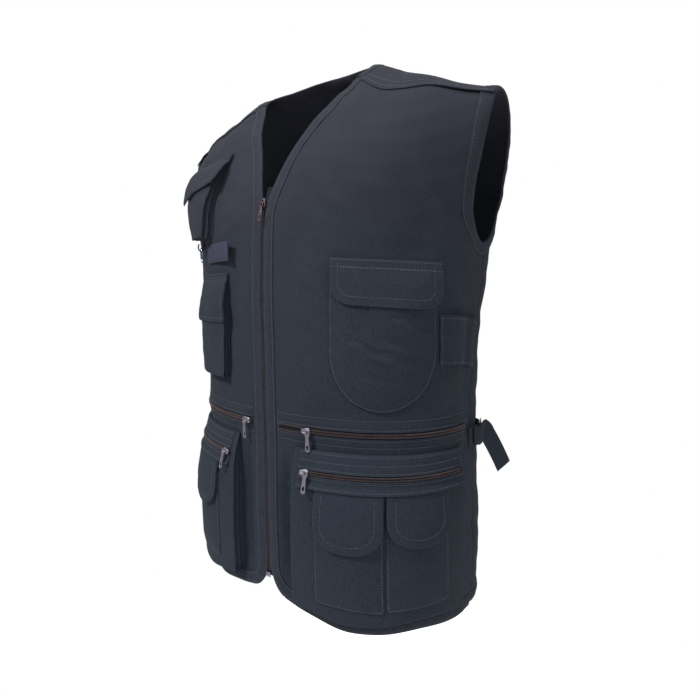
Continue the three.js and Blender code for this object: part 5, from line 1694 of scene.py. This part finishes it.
# Pleats of a gusset from the body to the face: step in towards the pocket, share of the depth.
PLEAT_IN = np.array([0.0, 1.6, 2.8, 1.2, -0.6, 1.0, 2.8, 1.2, -0.3, 0.4, 1.6])
PLEAT_UP = np.array([0.0, 0.12, 0.24, 0.38, 0.5, 0.6, 0.7, 0.82, 0.93, 0.985, 1.0])


def bellows_mesh(
    name, left, right, top, foot, depth_at, side,
    taper=None, columns=56, rows=60, crowned=1.2, lean=0.0,
):
    """Standing pocket with pleated sides and bottom, open towards the body."""
    count = len(PLEAT_IN)
    shares = np.linspace(0, 1, columns + 2)[1:-1]
    downs = np.concatenate([np.linspace(0, 0.3, rows // 3), np.linspace(0.3, 1, rows - rows // 3)[1:]])
    face_rows = [(v, 1.0, None) for v in downs]
    foot_rows = [(1.0, up, step) for up, step in zip(PLEAT_UP[::-1], PLEAT_IN[::-1])]

    def layer(wall):
        made = []
        for v, up, step in face_rows + foot_rows:
            low, high = left(v), right(v)
            gusset = PLEAT_IN + lean * v * PLEAT_UP
            face = mix(low + 1.6 + lean * v, high - 1.6 - lean * v, shares)
            girth = np.concatenate([low + gusset + wall, face, high - gusset[::-1] - wall])
            rise = np.concatenate([PLEAT_UP, np.ones(columns), PLEAT_UP[::-1]])
            base_z = foot(girth)
            z = mix(top, base_z + FOOT_TURN, v) if step is None else base_z + step + wall
            depth = depth_at(v)
            if taper is not None:
                depth = np.maximum(POCKET_WALL, depth * taper(girth))
            edge = np.maximum(np.minimum(girth - low, high - girth), 0)
            soft = crowned * crown(edge, 22) * math.sin(math.pi * min(v, 0.9)) ** 0.7
            shrink = wall * (rise > 0) * (up > 0)
            lift = np.maximum(0.0, (depth + soft) * np.minimum(rise, up) - shrink)
            made.append(on_body(girth * side, z, BASE + lift))
        return np.array(made)

    outer, inner = layer(0.0), layer(BELLOWS_CLOTH)
    # Lighter pleat folds and face edges, partly wear and partly painted highlight.
    worn = np.zeros(outer.shape[:2])
    worn[:, count - 2] = worn[:, -count + 1] = 0.6
    worn[: len(downs), 4] = worn[: len(downs), -5] = 0.4
    return cloth_solid(name, outer, inner, grid_faces(*worn.shape), sheet_uv(outer), worn, sharp=60)


class VEST_OT_cargo_pockets(bpy.types.Operator):
    """Make the bellows pockets with their zip bands."""

    bl_idname = "vest.cargo_pockets"
    bl_label = "Cargo Pockets"

    def execute(self, context):
        middle, slot, start, end = (CARGO_ZIP[key] for key in ("z", "slot", "from", "to"))
        top, bottom = CARGO_ZIP["top"], CARGO_ZIP["bottom"]
        bands, (above, below) = slot_heights(CARGO_ZIP)
        lip = slot_edge_lift(CARGO_LIFT, below, (2.6, 8.0))

        def proud_lip(flat, gap, run):
            return lip(flat, gap, run) + 3.4 * smoothstep(-flat[:, 1], -(bottom + 8), -bottom)

        lifts = slot_edge_lift(CARGO_LIFT, above, (2.6, 10.0)), proud_lip
        for side, label in SIDES:
            bag = keep(bellows_mesh(
                f"{label}_cargo_bag", lambda v: CARGO["left"], lambda v: CARGO["right"], CARGO["top"],
                cargo_foot, cargo_depth_at, side, cargo_taper, columns=70, rows=66, crowned=0.6,
            ), "twill", f"{label}_cargo_pocket")
            ends = sorted((side * (start + 3), side * (end + 4)))
            tape = (side * (start + 5), side * (end + 1)), (middle - 8, middle + 8), 1.3
            slot_cloth(
                f"{label}_cargo", ("band", "zip_band"), ends, bands, lifts, tape, on_cargo,
            )
            for height, lift in (
                (top - 2.2, 1.7), (middle + slot + 9.0, 1.75), (middle + slot + 1.2, 2.2),
                (middle - slot - 1.2, 2.2), (bottom + 3.0, 4.7),
            ):
                seam_on(on_cargo, [(ends[0] + 2, height), (ends[1] - 2, height)], lift)
            path = np.linspace(start + 7, end - 3, 80)
            runs = teeth_runs(on_cargo, path * side, middle, 2.1, TEETH_APART)
            keep_teeth(f"{label}_cargo", runs)
            seat = seat_on(on_cargo, start + (13 if side > 0 else 8), middle, 3.4, 14, side)
            slider_and_pull(f"{label}_cargo", seat, 23)
        return {"FINISHED"}


# Small pockets: name, sides, top, foot height above the bag's foot, flap top and flap end.
SMALL = (
    ("inner_small", 82.5, 157.5, -506, 16, -486, -555),
    ("outer_small", 160.5, 229, -504, 18, -486, -546),
)


def flap_outline(start, end, top, low, corner):
    """Flap shape with straight sides and a round lower edge."""
    middle, half = (start + end) / 2, (end - start) / 2
    arc = []
    for t in np.linspace(0, math.pi, 31):
        across = math.copysign(abs(math.cos(t)) ** 0.82, math.cos(t))
        arc.append((middle - half * across, low + corner * (1 - math.sin(t) ** 0.9)))
    return [(start, top)] + arc + [(end, top)]


def seam_inside(outline, distance, top):
    """Open run inside a closed outline, left out above a height."""
    edge = cut_edge(outline)
    ring = inset(edge, distance)
    gap, _ = outline_distance(ring, edge)
    good = (gap > distance * 0.8) & (ring[:, 1] < top)
    start = int(np.argmin(good)) if not good.all() else 0
    ring, good = np.roll(ring, -start, axis=0), np.roll(good, -start)
    return ring[good]


def seam_through(surface, outline, lift, run, above=0.3):
    """Seam that lies on a sewn shape and follows its rise."""
    run = spaced(np.asarray(run, float), 2.0)
    gap, place = outline_distance(run, cut_edge(outline))
    seam_points(surface, run, lift(run, gap, place) + above)


def creased(lift, lines):
    """Rise with short creases added, each by its place, heading, length, width and height."""

    def rise(flat, gap, run):
        total = lift(flat, gap, run)
        for girth, z, heading, length, width, high in lines:
            turn = math.radians(heading)
            offset = flat - np.array([girth, z])
            along = offset @ np.array([math.cos(turn), math.sin(turn)])
            away = offset @ np.array([-math.sin(turn), math.cos(turn)])
            away = away + 1.6 * np.sin(along / 7.0)
            share = np.exp(-((2 * along / length) ** 4)) * smoothstep(gap, 1.5, 7)
            ridge = bell(away, width) - 0.7 * bell(away - 1.8 * width, width)
            total = total + high * share * ridge
        return total

    return rise


def sew_on(name, node, outline, surface, lift, rests_on, stitch, below, held="hung", **cut):
    """Cloth shape on a surface, made with its cut and stitched inside its edge."""
    piece = keep(cloth_patch(name, outline, surface, lift, **cut), "twill", node)
    seam_through(surface, outline, lift, seam_inside(outline, stitch, below))


class VEST_OT_small_pockets(bpy.types.Operator):
    """Make the small flap pockets on the cargo pockets."""

    bl_idname = "vest.small_pockets"
    bl_label = "Small Pockets"

    def execute(self, context):
        for side, label in SIDES:
            rests_on = f"{label}_cargo_pocket"
            for kind, start, end, top, above, flap_top, flap_low in SMALL:
                foot, far_foot = (float(cargo_foot(girth)) + above for girth in (start, end))
                outline = flipped([
                    (start, top), (start - 0.5, foot + 4), (start + 2.5, foot),
                    (end - 2.5, far_foot), (end + 0.5, far_foot + 4), (end, top),
                ], side)
                name = f"{label}_{kind}"
                lift = sewn_lift(CARGO_LIFT, 2.6, 1.2)
                sew_on(
                    f"{name}_bag", f"{name}_pocket", outline, on_cargo, lift, rests_on,
                    PATCH_STITCH, top - 4, "laid",
                )
                shape = flipped(flap_outline(start + 0.5, end + 0.5, flap_top, flap_low, 31), side)
                stitch = 9.0
                rise = flap_lift(CARGO_LIFT + 0.6, 7.0, flap_top, flap_low, stitch)
                sew_on(
                    f"{name}_cover", f"{name}_flap", shape, on_cargo, rise, rests_on,
                    stitch, flap_top - 10, thick=FLAP_CLOTH,
                )
        return {"FINISHED"}


# Tool loops: distance round and rise of the strip, its height and top, and how it drops outward.
LOOPS = np.array((
    (220, 0), (226, 0.1), (231, 1.6), (238, 3.0), (246, 3.2), (253, 2.2), (258, 0.4), (262, 0.1),
    (267, 1.6), (273, 3.0), (278, 2.0), (282, 0.2), (285, 0),
))
LOOPS_TALL, LOOPS_TOP = 56, -292
loop_at = curve(LOOPS)


def loop_drift(girth):
    return 9.8 * ((girth - 222) / 60) ** 2


# Creases of the chest pocket: place, heading, length, width and height.
CHEST_CREASES = (
    (141, -331, -24, 42, 3.0, 1.9), (189, -307, -28, 48, 3.2, 1.9), (118, -352, -58, 48, 3.6, 1.0),
    (176, -330, -16, 52, 3.6, 1.3), (150, -366, -12, 44, 3.4, 0.7),
)

# Tilts of the flaps: drop of the far end, start and length across.
CHEST_TILT = (9, 101, 121)
RADIO_TILT = (16, 87, 104)


class VEST_OT_chest_pocket(bpy.types.Operator):
    """Make the round chest pocket, its flap and the tool loops."""

    bl_idname = "vest.chest_pocket"
    bl_label = "Chest Pocket"

    def execute(self, context):
        turns = np.linspace(0, math.pi, 40)
        bowl = [(157 - 59 * math.cos(t), -330 - 69 * math.sin(t) ** 0.92) for t in turns]
        outline = [(98.5, -246), (98, -290)] + bowl + [(216, -290), (216, -246)]
        lift = creased(sewn_lift(BASE - 0.4, 4.2, 2.5), CHEST_CREASES)
        sew_on(
            "chest_bag", "left_chest_pocket", outline, on_body, lift, "left_front_panel",
            PATCH_STITCH, -250, "laid", step=2.4,
        )
        top, low, stitch = -226, -277, 9.5
        near = arc_points(125, low + 24, 24.5, math.pi, 1.5 * math.pi, 9, 24)
        far = arc_points(199, low + 22, 22.5, 1.5 * math.pi, 2 * math.pi, 9, 22)
        shape = [(101, top), (100.5, top - 22)] + near + far + [(221.5, top - 24), (222, top)]
        shape = tilted(shape, *CHEST_TILT)
        rise = tilted_lift(flap_lift(BASE - 0.2, 8.8, top, low, stitch), *CHEST_TILT)
        sew_on(
            "chest_cover", "left_chest_flap", shape, on_body, rise, "left_front_panel",
            stitch, top - 5, thick=FLAP_CLOTH,
        )
        for below in (2.2, 10.2):
            line = tilted([(x, top - below) for x in np.linspace(103, 220, 40)], *CHEST_TILT)
            seam_through(on_body, shape, rise, line)
        self.tool_loops()
        return {"FINISHED"}

    def tool_loops(self):
        """Strip of cloth sewn down between its raised loops."""
        girth, down = np.meshgrid(np.linspace(220, 285, 80), np.linspace(0, 1, 22))
        z = LOOPS_TOP - LOOPS_TALL * down - loop_drift(girth)
        edge = np.minimum(down, 1 - down)
        lift = BASE + loop_at(girth) + 0.35 * np.sin(girth / 2.4) * np.exp(-edge * 9)
        outer, inner = on_body(girth, z, lift + PATCH_CLOTH), on_body(girth, z, lift)
        # Lighter long edges of the strip, partly wear and partly painted highlight.
        uv, worn = np.stack([girth, z], -1), bell(edge * LOOPS_TALL, 1.5)
        mesh = cloth_solid("tool_loops", outer, inner, grid_faces(*girth.shape), uv, worn)
        strip = keep(mesh, "twill", "left_tool_loops")
        for at in (222.5, 260, 283.5):
            path = [(at, height - loop_drift(at)) for height in (-294, -346)]
            seam_on(on_body, path, BASE + 1.45 + float(loop_at(at)))
        for part in (0.06, 0.94):
            path = np.stack([girth[0], LOOPS_TOP - LOOPS_TALL * part - loop_drift(girth[0])], -1)
            seam_points(on_body, path, BASE + 1.35 + loop_at(girth[0]))


class VEST_OT_right_pockets(bpy.types.Operator):
    """Make the radio pocket, the narrow pocket and the small trim of the right chest."""

    bl_idname = "vest.right_pockets"
    bl_label = "Right Chest"

    def execute(self, context):
        bag = keep(bellows_mesh(
            "radio_bag", lambda v: mix(92, 105, v), lambda v: mix(186, 172, v), RADIO["top"],
            level_foot(RADIO), radio_depth_at, -1, columns=34, rows=40, lean=8.0,
        ), "twill", "right_radio_pocket")
        top, low, stitch = -82, -124, 7.0
        shape = [
            (87, top), (88.5, -100), (91, -114), (95, low), (187, low), (190, -112), (191, -98), (191, top),
        ]
        rise = tilted_lift(flap_lift(1.0, 3.2, top, low, stitch), *RADIO_TILT)
        sew_on(
            "radio_cover", "right_radio_flap", flipped(tilted(shape, *RADIO_TILT), -1), on_radio, rise,
            "right_radio_pocket", stitch, top - 8, thick=FLAP_CLOTH,
        )
        left, right, height = NARROW["left"], NARROW["right"], NARROW["top"] - NARROW["foot"]
        bag = keep(bellows_mesh(
            "narrow_bag", lambda v: left, lambda v: right, NARROW["top"],
            level_foot(NARROW), narrow_depth_at, -1, columns=30, rows=46,
        ), "twill", "right_narrow_pocket")
        top, low, stitch = -239, -303, 6.0
        shape = [(66.5, top), (66, low + 3), (68, low), (143, low), (145.5, low + 3), (145, top)]
        shape, rise = flipped(shape, -1), flap_lift(0.8, 1.4, top, low, stitch)
        sew_on(
            "narrow_cover", "right_narrow_flap", shape, on_narrow, rise,
            "right_narrow_pocket", stitch, top - 3, thick=FLAP_CLOTH,
        )
        seam_through(on_narrow, shape, rise, [(-143, top - 9.0), (-69, top - 9.0)])
        self.webbing_tab()
        self.ring_and_loop()
        return {"FINISHED"}

    def webbing_tab(self):
        """Flat webbing tab, proud at its inner end."""
        share = np.linspace(0, 1, 40)
        outer_end = spot_on(on_body, -126, TAB_Z, BASE + 1.2)
        inner_end = spot_on(on_body, -52, TAB_Z, BASE + 9.5)
        along = unit(inner_end - outer_end)
        high, low = (spot_on(on_body, -89, TAB_Z + step) for step in (8, -8))
        out = unit(np.cross(along, unit(high - low)))
        up = np.cross(out, along)
        middle = outer_end + (inner_end - outer_end) * share[:, None]
        middle = middle + out * (0.35 * np.sin(share * math.pi))[:, None]
        section = [
            (12.5, 0.4), (11.6, 0.95), (6, 1.05), (0, 1.0), (-6, 1.05), (-11.6, 0.95), (-12.5, 0.4),
            (-12.5, -0.4), (-11.6, -0.95), (0, -1.0), (11.6, -0.95), (12.5, -0.4),
        ]
        rings = swept(middle, up, out, section)
        at = share * np.linalg.norm(inner_end - outer_end)
        # Lighter inner end of the tab, partly wear and partly painted highlight.
        worn = np.zeros(rings.shape[:2])
        worn[-3:] = 0.9
        uv = strip_uv(at[:, None], np.array([w for w, _ in section])[None, :])
        mesh = tube_mesh("webbing_tab", rings, uv=uv, wear=worn.ravel())
        keep(mesh, "webbing", "right_webbing_tab")
        for k in (3, 6):
            line = middle[k] + up * np.linspace(-11, 11, 12)[:, None] + out * 1.15
            add_seam(line, np.repeat(out[None], 12, 0))

    def ring_and_loop(self):
        """Cloth loop and the oval ring that hangs in it."""
        path = np.array((
            (-194.5, 0.3), (-198, 0.9), (-203.5, 2.4), (-207.4, 5.2), (-204.4, 8.2), (-200, 8.4),
            (-196.6, 7.2),
        ))
        fine = np.linspace(0, len(path) - 1, 25)
        z, lift = row_spline(path, np.arange(len(path), dtype=float), fine).T
        girth = np.full(len(fine), -150.0)
        middle = on_body(girth, z, BASE + lift)
        axes = strap_axes(middle, unit(on_body(girth + 4, z) - on_body(girth - 4, z)))
        rings = swept(middle, *axes, bar_section(2.5, 2.1, 0.6, 0.25))
        keep(tube_mesh("ring_loop", rings), "twill", "right_ring_loop")

        def mirrored(girth, height, rise):
            return on_body(-girth, height, rise) * np.array([-1.0, 1, 1])

        seat = seat_on(mirrored, 150, -212.4, BASE + 5.2, 6, -1)
        turn = np.linspace(0, 2 * math.pi, 61)[:-1]
        outward = np.stack([np.cos(turn), np.sin(turn), np.zeros(60)], -1)
        centre, wire = outward * np.array([6.0, 9.5, 0.0]), 1.1
        swing = np.linspace(0, 2 * math.pi, 13)[:-1]
        section = [(wire * math.cos(a), wire * math.sin(a)) for a in swing]
        rings = swept(centre, outward, np.array([0.0, 0.0, 1.0]), section)
        local = rings.reshape(-1, 3) @ seat[:3, :3].T + seat[:3, 3]
        mesh = tube_mesh("oval_ring", local.reshape(60, 12, 3), closed=True)
        keep(mesh, "chrome", "right_ring")


STRAP = {"z": -443, "width": 23, "thick": 1.3, "ahead": 22}
BUCKLE = {"half": 12, "tall": 14.5, "bar": 0.9, "thick": 1.8, "rail": 2.4, "front": -10.6}
TAIL_LENGTH = 58
TAIL_RUN = unit(np.array([0.26, 0.62, -0.92]))


def strap_axes(middle, across):
    """Directions across a strap and out of its face along its path."""
    along = unit(np.gradient(middle, axis=0))
    side = unit(across - along * (across * along).sum(1)[:, None])
    return side, np.cross(along, side)


def strap_mesh(name, middle, across):
    """Flat strap with rounded long edges along a path, with its directions."""
    side, face = strap_axes(middle, across)
    w, t = STRAP["width"] / 2, STRAP["thick"] / 2
    section = [
        (w, t * 0.4), (w - 0.7, t), (w - 2.2, t * 0.8), (0, t), (-w + 2.2, t * 0.8), (-w + 0.7, t),
        (-w, t * 0.4), (-w, -t * 0.4), (-w + 0.7, -t), (0, -t), (w - 0.7, -t), (w, -t * 0.4),
    ]
    rings = swept(middle, side, face, section)
    uv = strip_uv(run_length(middle)[:, None], np.array([a for a, _ in section])[None, :])
    # Lighter long edges of the strap, partly wear and partly painted highlight.
    worn = np.zeros(rings.shape[:2])
    worn[:, (0, 1, 5, 6)] = 0.6
    return tube_mesh(name, rings, uv=uv, wear=worn.ravel()), side, face


def fine_path(points, count):
    places = run_length(points)
    at = np.linspace(0, places[-1], count)
    return row_spline(points, places, at), places, at


def even_form(girth, height, lift):
    """Points on the worn form without its folds."""
    angle = angle_at(girth, height)
    return form_point(angle, height) + form_normal(angle, height) * np.asarray(lift, float)[..., None]


class VEST_OT_side_straps(bpy.types.Operator):
    """Make the waist straps with their tabs and buckles."""

    bl_idname = "vest.side_straps"
    bl_label = "Side Straps"

    def execute(self, context):
        for side, label in SIDES:
            self.strap_set(side, label)
        return {"FINISHED"}

    def strap_set(self, side, label):
        z, thick, width = STRAP["z"], STRAP["thick"], STRAP["width"]
        start = float(side_girth(z)) + STRAP["ahead"]
        seat = seat_on(even_form, start, z, BASE + 5.5, 6)
        up, flip = seat[:3, 1], np.array([side, 1.0, 1.0])

        def spot(along, out):
            return seat[:3, :3] @ np.array([along, 0.0, out]) + seat[:3, 3]

        def laid(girth, lift):
            return spot_on(even_form, girth, z, lift)

        def bend(centre, radius, first, last):
            turns = np.radians(np.linspace(first, last, 7))
            return [spot(centre + radius * math.cos(t), radius * math.sin(t)) for t in turns]

        tab_from, front = start - 32, BUCKLE["front"]
        tab = [
            laid(tab_from, BASE + thick / 2), laid(tab_from + 9, BASE + thick / 2 + 0.4), spot(-15, -3.6),
            *bend(front, 2.6, -90, 90), spot(-16, 0.4), laid(tab_from + 8.5, BASE + thick * 2 + 1),
        ]
        path, _, _ = fine_path(np.array(tab), 60)
        mesh, _, _ = strap_mesh(f"{label}_buckle_tab", path * flip, np.repeat((up * flip)[None], 60, 0))
        keep(mesh, "twill", f"{label}_strap_tab")
        hole_y, half = BUCKLE["tall"] - BUCKLE["rail"], -front / 2 - BUCKLE["bar"]
        holes = [
            [(x - half, -hole_y), (x + half, -hole_y), (x + half, hole_y), (x - half, hole_y)]
            for x in (front / 2, -front / 2)
        ]
        outline = cut_corners(BUCKLE["half"], BUCKLE["tall"], 2)
        place = np.diag([side, 1.0, 1.0, 1.0]) @ moved(seat, 0, 0, -BUCKLE["thick"] / 2)
        buckle = plate_mesh(f"{label}_slide_buckle", outline, holes, BUCKLE["thick"], 0.5, place)
        keep(buckle, "buckle", f"{label}_strap_buckle")
        sewn = [laid(start + 118 - k * 14, BASE + thick / 2 + 0.4) for k in range(8)]
        tail_start, tail_across = spot(14.5, 4), np.array([0.3, 0.6, 0.64])
        points = sewn + [spot(15, -3), spot(7, -2.7)] + bend(0, 2.6, -90, -270) + [spot(7, 3)]
        acrosses = [up] * len(points)
        points.append(tail_start)
        acrosses.append(mix(up, tail_across, 0.35))
        for part in np.linspace(0, 1, 7)[1:]:
            points.append(tail_start + TAIL_RUN * (TAIL_LENGTH * part) + np.array([0, 0, -9 * part * part]))
            acrosses.append(mix(up, tail_across, min(1.0, 0.35 + part * 1.3)))
        path, places, at = fine_path(np.array(points), 170)
        cross = row_spline(np.array(acrosses), places, at)
        path = path * flip
        mesh, across, face = strap_mesh(f"{label}_waist_strap", path, cross * flip)
        keep(mesh, "twill", f"{label}_strap")
        out = face * np.sign((face[0] * (path[0] - np.array([0, 5, path[0][2]]))).sum())
        for edge in (-1, 1):
            line = path + across * (edge * (width / 2 - 2.2)) + out * (thick / 2 + 0.05)
            add_seam(line[2:-2], out[2:-2])


class VEST_OT_topstitching(bpy.types.Operator):
    """Lay the stitches along all seams."""

    bl_idname = "vest.topstitching"
    bl_label = "Topstitching"

    def execute(self, context):
        sizes = context.scene.vest_sizes
        if not SEAMS:
            raise RuntimeError("the seams come from the pieces, so the pieces are made first")
        half = len(SEAMS) // 2
        for number, runs in enumerate((SEAMS[:half], SEAMS[half:]), 1):
            keep(laid_along(
                f"topstitching_{number}", "stitches", runs, "thread",
                Pitch=sizes.stitch_pitch, Length=sizes.stitch_length,
                Width=sizes.stitch_width, Height=sizes.stitch_width * 0.8,
            ), "thread")
        return {"FINISHED"}


CAMERA_PLACE = (0.480545, -0.569858, -0.247309)
CAMERA_RIGHT = (0.76611, 0.64214, -0.02688)
CAMERA_UP = (-0.05037, 0.10169, 0.99354)
CAMERA_BACK = (0.64073, -0.75981, 0.11025)
CAMERA_LENS = 27.71
CAMERA_SHIFT = (0.036, -0.0189)
AIR_LIGHT = 0.3
FLOOR_REACH = 1.3


class VEST_OT_stage(bpy.types.Operator):
    """Set the camera, the pale floor and the soft studio light."""

    bl_idname = "vest.stage"
    bl_label = "Stage"

    def execute(self, context):
        scene, sizes = context.scene, context.scene.vest_sizes
        lens = bpy.data.cameras.new("photo_camera")
        lens.sensor_width, lens.sensor_fit = 36, "HORIZONTAL"
        lens.lens = CAMERA_LENS
        lens.shift_x, lens.shift_y = CAMERA_SHIFT
        lens.clip_start, lens.clip_end = 0.01, 50
        camera = bpy.data.objects.new("photo_camera", lens)
        turn = Matrix((CAMERA_RIGHT, CAMERA_UP, CAMERA_BACK)).transposed().to_4x4()
        camera.matrix_world = Matrix.Translation(CAMERA_PLACE) @ turn
        scene.collection.objects.link(camera)
        scene.camera = camera
        level = CAD_BOX[0][2] - sizes.floor_drop
        mesh = bpy.data.meshes.new("studio_floor")
        turns = [k * math.pi / 36 for k in range(72)]
        rim = [(FLOOR_REACH * math.cos(t), FLOOR_REACH * math.sin(t), level) for t in turns]
        mesh.from_pydata(rim, [], [tuple(range(72))])
        floor = bpy.data.objects.new("studio_floor", mesh)
        mesh.materials.append(paper_material("studio_paper", scene.vest_tones.floor))
        scene.collection.objects.link(floor)
        world = bpy.data.worlds.new("studio_air")
        world.use_nodes = True
        air = Nodes(world.node_tree)
        background = world.node_tree.nodes["Background"]
        background.inputs["Color"].default_value = (1.0, 1.0, 1.0, 1.0)
        seen = air.add("ShaderNodeLightPath").outputs["Is Camera Ray"]
        strength = air.plus(air.times(seen, 1.0 - AIR_LIGHT), AIR_LIGHT)
        air.feed(background.inputs["Strength"], strength)
        scene.world = world
        for name, place, aim, size, power in (
            ("key_light", (-0.75, -1.75, 1.5), (0, 0, -0.3), 0.4, 43),
            ("top_light", (0.3, -0.3, 2.4), (0, 0, -0.2), 1.0, 22),
            ("side_light", (2.4, -0.9, 0.5), (0, 0, -0.3), 0.9, 11),
            ("back_light", (-0.9, 2.2, 0.9), (0, 0, -0.3), 1.4, 30),
        ):
            data = bpy.data.lights.new(name, "AREA")
            data.size, data.energy = size, power
            lamp = bpy.data.objects.new(name, data)
            lamp.location = place
            lamp.rotation_euler = (Vector(aim) - Vector(place)).to_track_quat("-Z", "Y").to_euler()
            scene.collection.objects.link(lamp)
        scene.view_settings.view_transform = "Standard"
        return {"FINISHED"}


class VEST_PT_builder(bpy.types.Panel):
    """Lists the vest's sizes, colours and pieces."""

    bl_idname = "VEST_PT_builder"
    bl_label = "Work Vest"
    bl_space_type = "VIEW_3D"
    bl_region_type = "UI"
    bl_category = "Vest"

    def draw(self, context):
        for group in (context.scene.vest_sizes, context.scene.vest_tones):
            box = self.layout.box()
            for key in group.__annotations__:
                box.prop(group, key)
        for kind in BUILD_ORDER:
            self.layout.operator(kind.bl_idname)


BUILD_ORDER = (
    VEST_OT_stage, VEST_OT_panels, VEST_OT_bindings, VEST_OT_front_zip, VEST_OT_waist_zips,
    VEST_OT_cargo_pockets, VEST_OT_small_pockets, VEST_OT_chest_pocket, VEST_OT_right_pockets,
    VEST_OT_side_straps, VEST_OT_topstitching,
)
CLASSES = (VestSizes, VestTones) + BUILD_ORDER + (VEST_PT_builder,)


def register():
    for kind in CLASSES:
        bpy.utils.register_class(kind)
    bpy.types.Scene.vest_sizes = bpy.props.PointerProperty(type=VestSizes)
    bpy.types.Scene.vest_tones = bpy.props.PointerProperty(type=VestTones)


def unregister():
    del bpy.types.Scene.vest_tones
    del bpy.types.Scene.vest_sizes
    for kind in reversed(CLASSES):
        bpy.utils.unregister_class(kind)


def main():
    register()
    for kind in BUILD_ORDER:
        group, name = kind.bl_idname.split(".")
        getattr(getattr(bpy.ops, group), name)()


if __name__ == "__main__":
    main()
